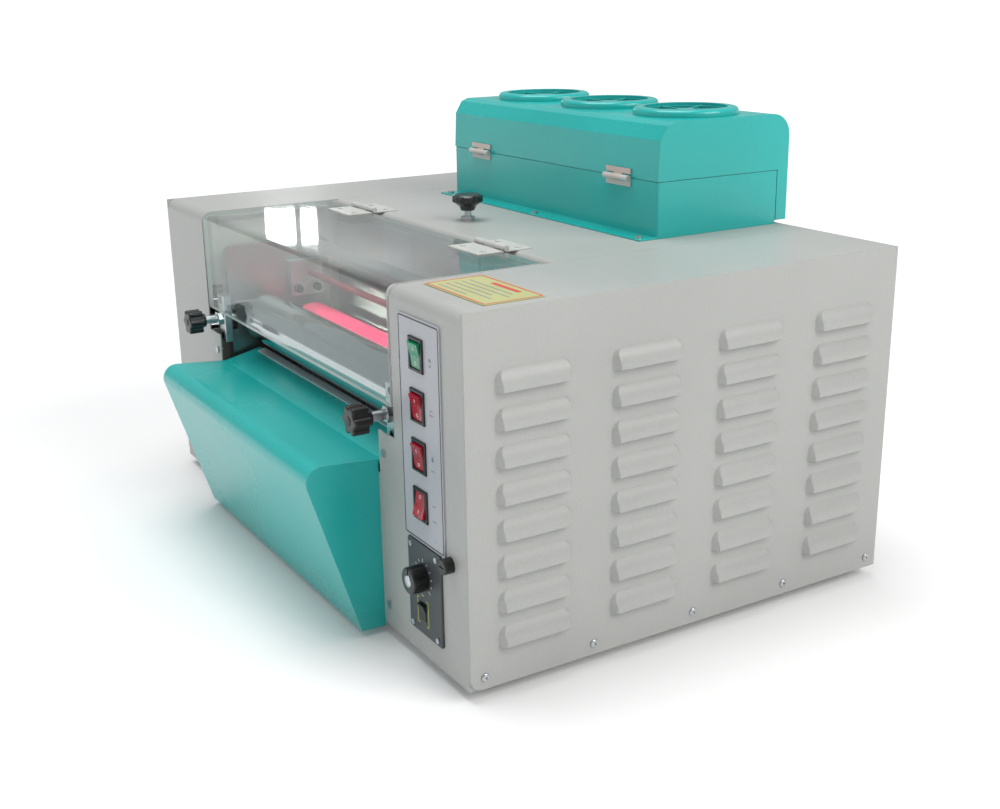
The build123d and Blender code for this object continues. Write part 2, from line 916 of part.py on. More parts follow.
with BuildPart() as bearings:
    for side in (1, -1):
        for y, z in ((coating_y, coating_z), (impression_y, impression_z)):
            bar_x(side * (plate_inner_x - 3), side * plate_inner_x, y, z, bearing_radius + 4)
            bar_x(side * plate_inner_x, side * (plate_outer_x + 2), y, z, bearing_radius)
            bar_x(
                side * (plate_inner_x - 4),
                side * (plate_outer_x + 3),
                y,
                z,
                journal_radius + running,
                Mode.SUBTRACT,
            )
    for side in (1, -1):
        for y in (idler_y, drive_y):
            block(
                side * flange_bearing_inner_x,
                side * bay_half,
                y - flange_bearing_half_depth,
                y + flange_bearing_half_depth,
                conveyor_z - flange_bearing_half_height,
                conveyor_z + flange_bearing_half_height,
            )
            bar_x(
                side * (flange_bearing_inner_x - over),
                side * (bay_half + over),
                y,
                conveyor_z,
                conveyor_journal_radius + running,
                Mode.SUBTRACT,
            )
save(bearings.part, "bearings")

bed_top_z = conveyor_z + conveyor_inner_radius - belt_gap
with BuildPart() as slider_bed:
    block(-bay_half, bay_half, idler_y + bed_front_gap, drive_y - bed_rear_gap, bed_top_z - sheet, bed_top_z)
    for side in (1, -1):
        block(
            side * (bay_half - sheet),
            side * bay_half,
            idler_y + bed_front_gap,
            drive_y - bed_rear_gap,
            bed_top_z - bed_lip,
            bed_top_z,
        )
save(slider_bed.part, "slider_bed")

# ---------------------------------------------------------------- gearmotor, pulleys and drive belts
motor_shaft_y = -110
motor_shaft_z = 70
motor_shaft_radius = 6
motor_outer_x = -376
motor_inner_x = -306
motor_half_depth = 45
motor_top_z = 110
motor_corner = 6
motor_boss_radius = 16
motor_boss_length = 4

with BuildPart() as gearmotor:
    block(
        motor_outer_x,
        motor_inner_x,
        motor_shaft_y - motor_half_depth,
        motor_shaft_y + motor_half_depth,
        floor_z + sheet,
        motor_top_z,
    )
    fillet(gearmotor.edges().filter_by(Axis.X), motor_corner)
    bar_x(motor_inner_x, motor_inner_x + motor_boss_length, motor_shaft_y, motor_shaft_z, motor_boss_radius)
    bar_x(
        motor_inner_x - 4 * motor_boss_length,
        motor_inner_x + motor_boss_length + over,
        motor_shaft_y,
        motor_shaft_z,
        motor_shaft_radius + running,
        Mode.SUBTRACT,
    )
save(gearmotor.part, "gearmotor")

with BuildPart() as motor_pulley:
    bar_x(motor_inner_x - 14, belt_one_x, motor_shaft_y, motor_shaft_z, motor_shaft_radius)
    pulley((belt_one_x,), motor_shaft_y, motor_shaft_z, motor_pulley_radius)
save(motor_pulley.part, "motor_pulley")

with BuildPart() as drive_belts:
    for middle_x, first, second in (
        (
            belt_one_x,
            (motor_shaft_y, motor_shaft_z, motor_pulley_radius),
            (impression_y, impression_z, roller_pulley_radius),
        ),
        (
            belt_two_x,
            (impression_y, impression_z, roller_pulley_radius),
            (drive_y, conveyor_z, conveyor_pulley_radius),
        ),
    ):
        with BuildSketch(Plane.YZ.offset(middle_x - drive_belt_width / 2)) as belt_outline:
            for y, z, radius in (first, second):
                with Locations((y, z)):
                    Circle(radius + pulley_gap + drive_belt_thick)
            make_hull()
            with BuildSketch(mode=Mode.SUBTRACT):
                for y, z, radius in (first, second):
                    with Locations((y, z)):
                        Circle(radius + pulley_gap)
                make_hull()
        extrude(belt_outline.sketch, amount=drive_belt_width)
save(drive_belts.part, "drive_belts")

# ---------------------------------------------------------------- power supply
supply_x0 = 275
supply_x1 = 370
supply_y0 = -60
supply_y1 = 120
supply_top_z = 75

with BuildPart() as power_supply:
    block(supply_x0, supply_x1, supply_y0, supply_y1, floor_z + sheet, supply_top_z)
    chamfer(power_supply.edges().group_by(Axis.Z)[-1], 1.5)
save(power_supply.part, "power_supply")

# ---------------------------------------------------------------- control label plate and switches
label_corner = 3
bay_plate_thick = 1
tall_plate = (-114, -41, 287, 347)
wide_plate = (59, 113, 319, 344)

with BuildPart() as label_plates:
    block(label_x0, label_x1, front_y - label_thick, front_y, label_z0, label_z1)
    fillet(label_plates.edges().filter_by(Axis.Y), label_corner)
    for height in switch_heights:
        block(
            switch_x - housing_width / 2 - cutout_play / 2,
            switch_x + housing_width / 2 + cutout_play / 2,
            front_y - label_thick - over,
            front_y + over,
            height - housing_height / 2 - cutout_play / 2,
            height + housing_height / 2 + cutout_play / 2,
            Mode.SUBTRACT,
        )
    for x0, x1, z0, z1 in (tall_plate, wide_plate):
        block(x0, x1, bay_back_y - bay_plate_thick, bay_back_y, z0, z1)
save(label_plates.part, "label_plates")

rocker_pivot_y = front_y - label_thick + 2
rocker_half_width = 9.2
rocker_half_height = 12
rocker_front = 5
rocker_back = 7
rocker_tilt = 10
rocker_side_play = 0.2
rocker_end_play = 0.9
pivot_pin_radius = 1.5
pivot_reach = 1.2
bezel_front_y = front_y - label_thick - bezel_thick
housing_back_y = rocker_pivot_y + rocker_back + 12

with BuildPart() as switch_housings:
    for height in switch_heights:
        block(
            switch_x - bezel_width / 2,
            switch_x + bezel_width / 2,
            bezel_front_y,
            front_y - label_thick,
            height - bezel_height / 2,
            height + bezel_height / 2,
        )
    chamfer(switch_housings.faces().sort_by(Axis.Y)[0:4].edges(), 0.6)
    for height in switch_heights:
        block(
            switch_x - housing_width / 2,
            switch_x + housing_width / 2,
            front_y - label_thick,
            housing_back_y,
            height - housing_height / 2,
            height + housing_height / 2,
        )
        block(
            switch_x - rocker_half_width - rocker_side_play,
            switch_x + rocker_half_width + rocker_side_play,
            bezel_front_y - 1,
            rocker_pivot_y + rocker_back + 3,
            height - rocker_half_height - rocker_end_play,
            height + rocker_half_height + rocker_end_play,
            Mode.SUBTRACT,
        )
        bar_x(
            switch_x - rocker_half_width - pivot_reach - 0.2,
            switch_x + rocker_half_width + pivot_reach + 0.2,
            rocker_pivot_y,
            height,
            pivot_pin_radius + running,
            Mode.SUBTRACT,
        )
        for blade_z in (height - 8, height, height + 8):
            block(switch_x - 3, switch_x + 3, housing_back_y, housing_back_y + 8, blade_z - 0.4, blade_z + 0.4)
save(switch_housings.part, "switch_housings")


def rocker(x, y, z, half_width_x, half_height, front, back, pin_radius, pin_reach, tilt):
    """Rocker on two pins, its top end out for a positive tilt in degrees."""
    with BuildSketch(Plane.YZ.offset(x)) as outline:
        with Locations(Location((y, z), tilt)):
            with BuildLine(mode=Mode.PRIVATE) as edge:
                Polyline((back, -half_height * 0.35), (2, -half_height), (-front, -half_height))
                Polyline((-front, -half_height), (-front + 1.2, 0), (-front, half_height))
                Polyline((-front, half_height), (2, half_height), (back, half_height * 0.35))
                Line((back, half_height * 0.35), (back, -half_height * 0.35))
            add(make_face(edge.edges(), mode=Mode.PRIVATE))
    extrude(outline.sketch, amount=half_width_x, both=True)
    bar_x(x - half_width_x - pin_reach, x + half_width_x + pin_reach, y, z, pin_radius)


for name, height, tilt in (
    ("green_rocker", switch_heights[0], -rocker_tilt),
    ("red_rocker_upper", switch_heights[1], -rocker_tilt),
    ("red_rocker_middle", switch_heights[2], -rocker_tilt),
    ("red_rocker_lower", switch_heights[3], rocker_tilt),
):
    with BuildPart() as switch_rocker:
        rocker(
            switch_x,
            rocker_pivot_y,
            height,
            rocker_half_width,
            rocker_half_height,
            rocker_front,
            rocker_back,
            pivot_pin_radius,
            pivot_reach,
            -tilt,
        )
    save(switch_rocker.part, name)

# ---------------------------------------------------------------- speed control unit
speed_knob_x = 305
speed_knob_z = 96
speed_knob_radius = 13
speed_knob_length = 15
speed_shaft_radius = 3
run_x = 303
run_z = 60
run_half_width = 6
run_half_height = 8.5
run_recess_half_width = 6.2
run_recess_half_height = 9.4
unit_front_y = front_y - unit_thick
run_pivot_y = unit_front_y + 2
fuse_cap_radius = 7.5
fuse_cap_length = 10
fuse_body_length = 30
unit_screw_inset_x = 24
unit_screw_inset_z = 6
unit_screw_radius = 1.5

with BuildPart() as speed_unit:
    block(unit_x0, unit_x1, unit_front_y, front_y, unit_z0, unit_z1)
    fillet(speed_unit.edges().filter_by(Axis.Y), 3)
    chamfer(speed_unit.faces().sort_by(Axis.Y)[0].edges(), 0.6)
    block(
        unit_middle_x - unit_body_half_width,
        unit_middle_x + unit_body_half_width,
        front_y,
        front_y + unit_body_depth,
        unit_middle_z - unit_body_half_height,
        unit_middle_z + unit_body_half_height,
    )
    bar_y(
        unit_front_y - over,
        front_y + 12,
        speed_knob_x,
        speed_knob_z,
        speed_shaft_radius + running,
        Mode.SUBTRACT,
    )
    block(
        run_x - run_recess_half_width,
        run_x + run_recess_half_width,
        unit_front_y - 1,
        run_pivot_y + 9,
        run_z - run_recess_half_height,
        run_z + run_recess_half_height,
        Mode.SUBTRACT,
    )
    bar_x(
        run_x - run_half_width - 1.2,
        run_x + run_half_width + 1.2,
        run_pivot_y,
        run_z,
        1 + running,
        Mode.SUBTRACT,
    )
    bar_y(
        front_y - fuse_cap_length,
        front_y - unit_thick + over,
        fuse_x,
        fuse_z,
        fuse_cap_radius + seam,
        Mode.SUBTRACT,
    )
    for x in (unit_middle_x - unit_screw_inset_x, unit_middle_x + unit_screw_inset_x):
        for z in (unit_z0 + unit_screw_inset_z, unit_z1 - unit_screw_inset_z):
            bar_y(unit_front_y - over, front_y + over, x, z, unit_screw_radius + 2 * snug, Mode.SUBTRACT)
save(speed_unit.part, "speed_unit")

with BuildPart() as speed_knob:
    bar_y(unit_front_y - 1 - speed_knob_length, unit_front_y - 1, speed_knob_x, speed_knob_z, speed_knob_radius)
    fillet(speed_knob.edges().filter_by(GeomType.CIRCLE).group_by(Axis.Y)[0], 1.5)
    with BuildSketch(Plane.XZ.offset(-(unit_front_y - speed_knob_length + 3))) as grips:
        with Locations((speed_knob_x, speed_knob_z)):
            with PolarLocations(speed_knob_radius + 0.4, 18):
                Circle(0.9)
    extrude(amount=-(speed_knob_length - 6), mode=Mode.SUBTRACT)
    bar_y(unit_front_y - 5, front_y + 10, speed_knob_x, speed_knob_z, speed_shaft_radius)
    block(
        speed_knob_x - 0.8,
        speed_knob_x + 0.8,
        unit_front_y - 3 - speed_knob_length,
        unit_front_y - speed_knob_length,
        speed_knob_z,
        speed_knob_z + speed_knob_radius + 1,
        Mode.SUBTRACT,
    )
save(speed_knob.part, "speed_knob")

with BuildPart() as run_rocker:
    rocker(run_x, run_pivot_y, run_z, run_half_width, run_half_height, 4, 5, 1, 1, rocker_tilt)
save(run_rocker.part, "run_rocker")

with BuildPart() as fuse_holder:
    bar_y(front_y - fuse_cap_length, front_y, fuse_x, fuse_z, fuse_cap_radius)
    fillet(fuse_holder.edges().filter_by(GeomType.CIRCLE).group_by(Axis.Y)[0], 1.2)
    bar_y(front_y, front_y + fuse_body_length, fuse_x, fuse_z, fuse_body_radius)
    block(fuse_x - 4, fuse_x + 4, front_y - 11, front_y - 8.8, fuse_z - 0.7, fuse_z + 0.7, Mode.SUBTRACT)
save(fuse_holder.part, "fuse_holder")

yellow_x0 = 264
yellow_x1 = 371
yellow_y0 = front_y + 29
yellow_y1 = front_y + 92
yellow_thick = 1

with BuildPart() as yellow_plate:
    block(yellow_x0, yellow_x1, yellow_y0, yellow_y1, top_z, top_z + yellow_thick)
    fillet(yellow_plate.edges().filter_by(Axis.Z), label_corner)
save(yellow_plate.part, "yellow_plate")

# ---------------------------------------------------------------- hold-down knob
hold_knob_radius = 17.5
hold_knob_top_z = top_z + 30
hold_knob_height = 18

with BuildPart() as hold_knob:
    with BuildSketch(Plane.XZ.offset(-knob_y)) as knob_half:
        with BuildLine():
            Polyline(
                (knob_x, hold_knob_top_z - hold_knob_height),
                (knob_x + 8, hold_knob_top_z - hold_knob_height),
                (knob_x + 10, hold_knob_top_z - hold_knob_height + 5),
                (knob_x + hold_knob_radius, hold_knob_top_z - 8),
                (knob_x + hold_knob_radius, hold_knob_top_z - 2),
                (knob_x + hold_knob_radius - 3, hold_knob_top_z),
                (knob_x, hold_knob_top_z),
                close=True,
            )
        make_face()
    revolve(axis=Axis((knob_x, knob_y, 0), (0, 0, 1)))
    bar_z(top_z - 26, hold_knob_top_z - 6, knob_x, knob_y, stud_radius)
    with BuildSketch(Plane.XY.offset(hold_knob_top_z - 9)) as lobes:
        with Locations((knob_x, knob_y)):
            with PolarLocations(hold_knob_radius + 2.5, 7):
                Circle(4)
    extrude(lobes.sketch, amount=12, mode=Mode.SUBTRACT)
save(hold_knob.part, "hold_knob")

# ---------------------------------------------------------------- clear cover and its hinges
with BuildPart() as clear_cover:
    with BuildSketch(Plane.YZ) as cover_profile:
        with Locations(((cover_front_y + cover_rear_y) / 2, (cover_bottom_z + top_z) / 2)):
            Rectangle(cover_rear_y - cover_front_y, top_z - cover_bottom_z)
        fillet(cover_profile.vertices().group_by(Axis.X)[0].sort_by(Axis.Y)[-1], 9)
        with BuildSketch(mode=Mode.SUBTRACT) as cover_hollow:
            with Locations(
                (
                    (cover_front_y + cover_rear_y) / 2 + cover_thick,
                    (cover_bottom_z + top_z) / 2 - cover_thick,
                )
            ):
                Rectangle(cover_rear_y - cover_front_y, top_z - cover_bottom_z)
            fillet(cover_hollow.vertices().group_by(Axis.X)[0].sort_by(Axis.Y)[-1], 4)
    extrude(amount=cover_half, both=True)
save(clear_cover.part, "clear_cover")

def hinge_leaf(hinge_x, width, axis_y, axis_z, leaf_z, leaf_far_y, segments):
    """Flat leaf lying on the plane z = leaf_z with knuckles round an axis along X."""
    leaf_near_y = axis_y + math.copysign(1.2, leaf_far_y - axis_y)
    block(hinge_x - width / 2, hinge_x + width / 2, leaf_near_y, leaf_far_y, leaf_z, leaf_z + 1.4)
    for low, high in segments:
        bar_x(hinge_x + low, hinge_x + high, axis_y, axis_z, knuckle_radius)


cover_side = cover_hinge_width / 6
with BuildPart() as cover_hinges_moving:
    for hinge_x in (-cover_hinge_x, cover_hinge_x):
        block(
            hinge_x - cover_hinge_width / 2,
            hinge_x + cover_hinge_width / 2,
            cover_axis_y - 34,
            cover_axis_y - knuckle_radius - 0.6,
            top_z,
            top_z + 1.4,
        )
        block(
            hinge_x - cover_side + 0.2,
            hinge_x + cover_side - 0.2,
            cover_axis_y - knuckle_radius - 1,
            cover_axis_y,
            top_z,
            top_z + 1.4,
        )
        bar_x(
            hinge_x - cover_side + 0.2,
            hinge_x + cover_side - 0.2,
            cover_axis_y,
            cover_axis_z,
            knuckle_radius,
        )
        bar_x(
            hinge_x - cover_side,
            hinge_x + cover_side,
            cover_axis_y,
            cover_axis_z,
            hinge_pin_radius + running,
            Mode.SUBTRACT,
        )
save(cover_hinges_moving.part, "cover_hinges_moving")

# ---------------------------------------------------------------- teal feed hood
hood_half = 215
hood_wall = 3
hood_foot_z = floor_z - 5
hood_foot_reach = 26
hood_fold = 16
hood_flange_width = 20
hood_flange_thick = 2
hood_flange_z0 = 60
hood_flange_z1 = 150
hood_top_front = (front_y - hood_reach, floor_z + 179)
hood_top_sill = (front_y + 3, floor_z + 172)
hood_lip = (front_y + 49, floor_z + 182)

with BuildPart() as feed_hood:
    with BuildSketch(Plane.YZ) as hood_profile:
        with BuildLine():
            Polyline(
                (front_y, hood_foot_z),
                (front_y - hood_foot_reach, hood_foot_z + 1),
                hood_top_front,
                hood_top_sill,
                hood_lip,
                (hood_lip[0], hood_lip[1] - hood_wall),
                (hood_top_sill[0], hood_top_sill[1] - hood_wall),
                (front_y, hood_top_sill[1] - hood_wall),
                close=True,
            )
        make_face()
        fillet(hood_profile.vertices().sort_by(Axis.X)[0], hood_fold)
    extrude(amount=hood_half, both=True)
    with BuildSketch(Plane.YZ) as hood_inside:
        with BuildLine():
            Polyline(
                (front_y + 1, hood_foot_z + hood_wall),
                (front_y - hood_foot_reach + 2.2, hood_foot_z + hood_wall + 0.9),
                (hood_top_front[0] + 4.2, hood_top_front[1] - hood_wall - 0.3),
                (front_y + 1, hood_top_sill[1] - hood_wall),
                close=True,
            )
        make_face()
        fillet(hood_inside.vertices().sort_by(Axis.X)[0], hood_fold - hood_wall)
    extrude(amount=hood_half - hood_wall, both=True, mode=Mode.SUBTRACT)
    for side in (1, -1):
        inside = hood_half - hood_wall
        block(
            side * (inside - hood_flange_width),
            side * inside,
            front_y - hood_flange_thick,
            front_y,
            hood_flange_z0,
            hood_flange_z1,
        )
save(feed_hood.part, "feed_hood")

lip_slope = (hood_lip[1] - hood_top_sill[1]) / (hood_lip[0] - hood_top_sill[0])
strip_thick = 1.5
strip_drop = 7
strip_reach = 8

with BuildPart() as hood_lip_strip:
    with BuildSketch(Plane.YZ) as strip_profile:
        with BuildLine():
            Polyline(
                (hood_lip[0], hood_lip[1] - strip_drop),
                (hood_lip[0] + strip_thick, hood_lip[1] - strip_drop),
                (hood_lip[0] + strip_thick, hood_lip[1] + strip_thick),
                (hood_lip[0] - strip_reach, hood_lip[1] - strip_reach * lip_slope + strip_thick),
                (hood_lip[0] - strip_reach, hood_lip[1] - strip_reach * lip_slope),
                hood_lip,
                close=True,
            )
        make_face()
    extrude(amount=hood_half - 12, both=True)
save(hood_lip_strip.part, "hood_lip_strip")

# ---------------------------------------------------------------- lamp house base
flange_front_y = front_y + 312
flange_screw_y = flange_front_y + 8
flange_screw_x = lamp_half - 12
flange_screw_radius = 2

with BuildPart() as lamp_base:
    block(-lamp_half, lamp_half, lamp_front_y, lamp_rear_y, top_z, top_z + lamp_base_height)
    fillet(lamp_base.edges().filter_by(Axis.Z).group_by(Axis.Y)[0], 3)
    block(
        -lamp_half + sheet,
        lamp_half - sheet,
        lamp_front_y + sheet,
        lamp_rear_y - sheet,
        top_z - 1,
        top_z + lamp_base_height + 1,
        Mode.SUBTRACT,
    )
    block(-lamp_half, lamp_half, flange_front_y, lamp_front_y + 1, top_z, top_z + sheet)
    for x in (-flange_screw_x, 0, flange_screw_x):
        bar_z(top_z - over, top_z + sheet + over, x, flange_screw_y, flange_screw_radius + snug, Mode.SUBTRACT)
save(lamp_base.part, "lamp_base")

with BuildPart() as panel_screws:
    for x, z in case_screw_places:
        bar_y(front_y - 2, front_y, x, z, 4)
        bar_y(front_y, front_y + 6, x, z, case_screw_radius)
    for x in (-flange_screw_x, 0, flange_screw_x):
        bar_z(top_z + sheet, top_z + sheet + 2.2, x, flange_screw_y, 2 * flange_screw_radius)
        bar_z(top_z, top_z + sheet, x, flange_screw_y, flange_screw_radius)
    for x in (unit_middle_x - unit_screw_inset_x, unit_middle_x + unit_screw_inset_x):
        for z in (unit_z0 + unit_screw_inset_z, unit_z1 - unit_screw_inset_z):
            bar_y(unit_front_y - 1.4, unit_front_y, x, z, 2.8)
            bar_y(unit_front_y, front_y, x, z, unit_screw_radius)
    with BuildSketch(Plane.XY.offset(top_z)) as nut_outline:
        with Locations((knob_x, knob_y)):
            RegularPolygon(8, 6)
            Circle(stud_radius + running, mode=Mode.SUBTRACT)
    extrude(nut_outline.sketch, amount=5)
save(panel_screws.part, "panel_screws")

# ---------------------------------------------------------------- lamps, reflector and holders
lamp_z = top_z + 22
lamp_tube_radius = 9
lamp_ys = (150, 198, 246)
lamp_tube_half = 190
holder_half = lamp_half - sheet
reflector_top_z = top_z + 46
holder_half_depth = 12
holder_half_height = 14
slot_pitch = 22
slot_half = 6

with BuildPart() as uv_lamps:
    for y in lamp_ys:
        bar_x(-lamp_tube_half, lamp_tube_half, y, lamp_z, lamp_tube_radius)
        for side in (1, -1):
            block(
                side * lamp_tube_half,
                side * holder_half,
                y - holder_half_depth,
                y + holder_half_depth,
                lamp_z - holder_half_height,
                lamp_z + holder_half_height,
            )
save(uv_lamps.part, "uv_lamps")

with BuildPart() as reflector:
    with BuildSketch(Plane.YZ) as reflector_profile:
        with BuildLine():
            Polyline(
                (lamp_front_y + sheet, reflector_top_z - 14),
                (lamp_front_y + 14, reflector_top_z),
                (lamp_rear_y - 14, reflector_top_z),
                (lamp_rear_y - sheet, reflector_top_z - 14),
                (lamp_rear_y - sheet, reflector_top_z - 15.4),
                (lamp_rear_y - 14.6, reflector_top_z - 1.4),
                (lamp_front_y + 14.6, reflector_top_z - 1.4),
                (lamp_front_y + sheet, reflector_top_z - 15.4),
                close=True,
            )
        make_face()
    extrude(amount=holder_half, both=True)
    for place in range(-8, 9):
        block(
            place * slot_pitch - slot_half,
            place * slot_pitch + slot_half,
            lamp_ys[0] + 10,
            lamp_ys[-1] - 10,
            reflector_top_z - 2 * sheet,
            reflector_top_z + over,
            Mode.SUBTRACT,
        )
save(reflector.part, "reflector")

# ---------------------------------------------------------------- lamp house lid
lid_front_y = lamp_front_y
lid_fold_y = front_y + 355
vent_hole_radius = 48
vent_places = [(place * vent_pitch, vent_y) for place in (-1, 0, 1)]

with BuildPart() as lamp_lid:
    with BuildSketch(Plane.YZ) as lid_profile:
        with BuildLine():
            Polyline(
                (lid_front_y, lid_base_z),
                (lid_front_y + 2, top_z + 102),
                (lid_front_y + 11, top_z + 116.5),
                (lid_fold_y, lid_top_z),
                (lid_rear_y, lid_top_z),
                (lid_rear_y, top_z + 4),
                (lamp_rear_y + 1, top_z + 4),
                (lamp_rear_y + 1, lid_base_z),
                close=True,
            )
        make_face()
        fillet(lid_profile.vertices().group_by(Axis.X)[-1].sort_by(Axis.Y)[-1], 24)
    extrude(amount=lamp_half, both=True)
    with BuildSketch(Plane.YZ) as lid_inside:
        with BuildLine():
            Polyline(
                (lid_front_y + lid_wall, lid_base_z - 1),
                (lid_front_y + 2 + lid_wall, top_z + 101.5),
                (lid_front_y + 12.2, top_z + 114.7),
                (lid_fold_y + 0.5, lid_top_z - lid_wall),
                (lid_rear_y - lid_wall, lid_top_z - lid_wall),
                (lid_rear_y - lid_wall, top_z + 3),
                (lamp_rear_y, top_z + 3),
                (lamp_rear_y, lid_base_z - 1),
                close=True,
            )
        make_face()
        fillet(lid_inside.vertices().group_by(Axis.X)[-1].sort_by(Axis.Y)[-1], 22)
    extrude(amount=lamp_half - lid_wall, both=True, mode=Mode.SUBTRACT)
    with Locations(*[(x, y, lid_top_z) for x, y in vent_places]):
        Cylinder(vent_hole_radius, 3 * lid_wall, mode=Mode.SUBTRACT)
save(lamp_lid.part, "lamp_lid")

# ---------------------------------------------------------------- vents and blowers on the lid
with BuildPart() as vent_guards:
    for x, y in vent_places:
        with BuildSketch(Plane.XY.offset(lid_top_z)):
            with Locations((x, y)):
                Circle(vent_radius)
                Circle(vent_hole_radius - 2, mode=Mode.SUBTRACT)
        extrude(amount=vent_height)
        top_rings = vent_guards.edges().filter_by(GeomType.CIRCLE).group_by(Axis.Z)[-1]
        fillet(top_rings.sort_by(SortBy.LENGTH)[-1], 5)
        with BuildSketch(Plane.XY.offset(lid_top_z + 2)):
            with Locations((x, y)):
                for ring in (14, 24, 34, 44):
                    Circle(ring + 1.2)
                    Circle(ring - 1.2, mode=Mode.SUBTRACT)
                for spoke in (0, 60, 120):
                    with Locations(Location((0, 0), spoke)):
                        Rectangle(2 * vent_hole_radius, 2.4)
                Circle(10)
        extrude(amount=3)
save(vent_guards.part, "vent_guards")

fan_half = 56
fan_depth = 25
fan_top_z = lid_top_z - lid_wall
rotor_hub_radius = 17
rotor_tip_radius = 46
fan_bore_radius = 48
rotor_shaft_radius = 3

with BuildPart() as fan_frames:
    for x, y in vent_places:
        block(x - fan_half, x + fan_half, y - fan_half, y + fan_half, fan_top_z - fan_depth, fan_top_z)
        bar_z(fan_top_z - fan_depth - 1, fan_top_z + 1, x, y, fan_bore_radius, Mode.SUBTRACT)
        block(x - fan_bore_radius - 1, x + fan_bore_radius + 1, y - 4, y + 4,
              fan_top_z - fan_depth, fan_top_z - fan_depth + 3)
        block(x - 4, x + 4, y - fan_bore_radius - 1, y + fan_bore_radius + 1,
              fan_top_z - fan_depth, fan_top_z - fan_depth + 3)
        bar_z(fan_top_z - fan_depth, fan_top_z - fan_depth + 3, x, y, 14)
        bar_z(fan_top_z - fan_depth, fan_top_z - 6, x, y, rotor_shaft_radius)
save(fan_frames.part, "fan_frames")

for name, (x, y) in zip(("left_rotor", "middle_rotor", "right_rotor"), vent_places):
    with BuildPart() as rotor:
        bar_z(fan_top_z - fan_depth + 4, fan_top_z - 2, x, y, rotor_hub_radius)
        with Locations((x, y, fan_top_z - fan_depth / 2 + 1)):
            with PolarLocations(0, 7):
                with Locations(Location(((rotor_hub_radius + rotor_tip_radius) / 2 - 1, 0, 0), (35, 0, 0))):
                    Box(rotor_tip_radius - rotor_hub_radius, 22, 1.6)
        bar_z(
            fan_top_z - fan_depth + 3,
            fan_top_z - 5.5,
            x,
            y,
            rotor_shaft_radius + running,
            Mode.SUBTRACT,
        )
    save(rotor.part, name)

# ---------------------------------------------------------------- lid hinges on the front seam
lid_axis_y = lamp_front_y - 3.6
lid_axis_z = top_z + lamp_base_height
lid_side = lamp_hinge_width / 6

with BuildPart() as fixed_hinge_leaves:
    for hinge_x in (-cover_hinge_x, cover_hinge_x):
        hinge_leaf(
            hinge_x,
            cover_hinge_width,
            cover_axis_y,
            cover_axis_z,
            top_z,
            cover_axis_y + 30,
            ((-3 * cover_side, -cover_side), (cover_side, 3 * cover_side)),
        )
        block(
            hinge_x - cover_side - 0.2,
            hinge_x + cover_side + 0.2,
            cover_axis_y - 4,
            cover_axis_y + knuckle_radius + 0.6,
            top_z - 1,
            top_z + 9,
            Mode.SUBTRACT,
        )
        bar_x(
            hinge_x - cover_hinge_width / 2,
            hinge_x + cover_hinge_width / 2,
            cover_axis_y,
            cover_axis_z,
            hinge_pin_radius,
        )
    for hinge_x in (-lamp_hinge_x, lamp_hinge_x):
        for low, high in ((-3 * lid_side, -lid_side), (lid_side, 3 * lid_side)):
            bar_x(hinge_x + low, hinge_x + high, lid_axis_y, lid_axis_z, knuckle_radius)
            block(
                hinge_x + low,
                hinge_x + high,
                lamp_front_y - 1.4,
                lamp_front_y,
                lid_axis_z - 9,
                lid_axis_z - 0.2,
            )
            block(
                hinge_x + low,
                hinge_x + high,
                lid_axis_y,
                lamp_front_y,
                lid_axis_z - knuckle_radius,
                lid_axis_z - knuckle_radius + 1.4,
            )
        block(
            hinge_x - lid_side,
            hinge_x + lid_side,
            lamp_front_y - 1.4,
            lamp_front_y,
            lid_axis_z - 9,
            lid_axis_z - knuckle_radius - 1,
        )
        bar_x(
            hinge_x - lamp_hinge_width / 2,
            hinge_x + lamp_hinge_width / 2,
            lid_axis_y,
            lid_axis_z,
            hinge_pin_radius,
        )
save(fixed_hinge_leaves.part, "fixed_hinge_leaves")

with BuildPart() as lid_hinges_moving:
    for hinge_x in (-lamp_hinge_x, lamp_hinge_x):
        block(
            hinge_x - lamp_hinge_width / 2,
            hinge_x + lamp_hinge_width / 2,
            lamp_front_y - 1.4,
            lamp_front_y,
            lid_axis_z + knuckle_radius + 1,
            lid_axis_z + 10,
        )
        block(
            hinge_x - lid_side + 0.2,
            hinge_x + lid_side - 0.2,
            lamp_front_y - 1.4,
            lamp_front_y,
            lid_axis_z + 1,
            lid_axis_z + knuckle_radius + 1.5,
        )
        block(
            hinge_x - lid_side + 0.2,
            hinge_x + lid_side - 0.2,
            lid_axis_y,
            lamp_front_y,
            lid_axis_z + knuckle_radius - 1.6,
            lid_axis_z + knuckle_radius,
        )
        bar_x(hinge_x - lid_side + 0.2, hinge_x + lid_side - 0.2, lid_axis_y, lid_axis_z, knuckle_radius)
        bar_x(
            hinge_x - lid_side,
            hinge_x + lid_side,
            lid_axis_y,
            lid_axis_z,
            hinge_pin_radius + running,
            Mode.SUBTRACT,
        )
save(lid_hinges_moving.part, "lid_hinges_moving")
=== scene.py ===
"""Looks of a tabletop roller coater with a lamp house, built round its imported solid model."""
import math

import bmesh
import bpy
from mathutils import Matrix, Vector


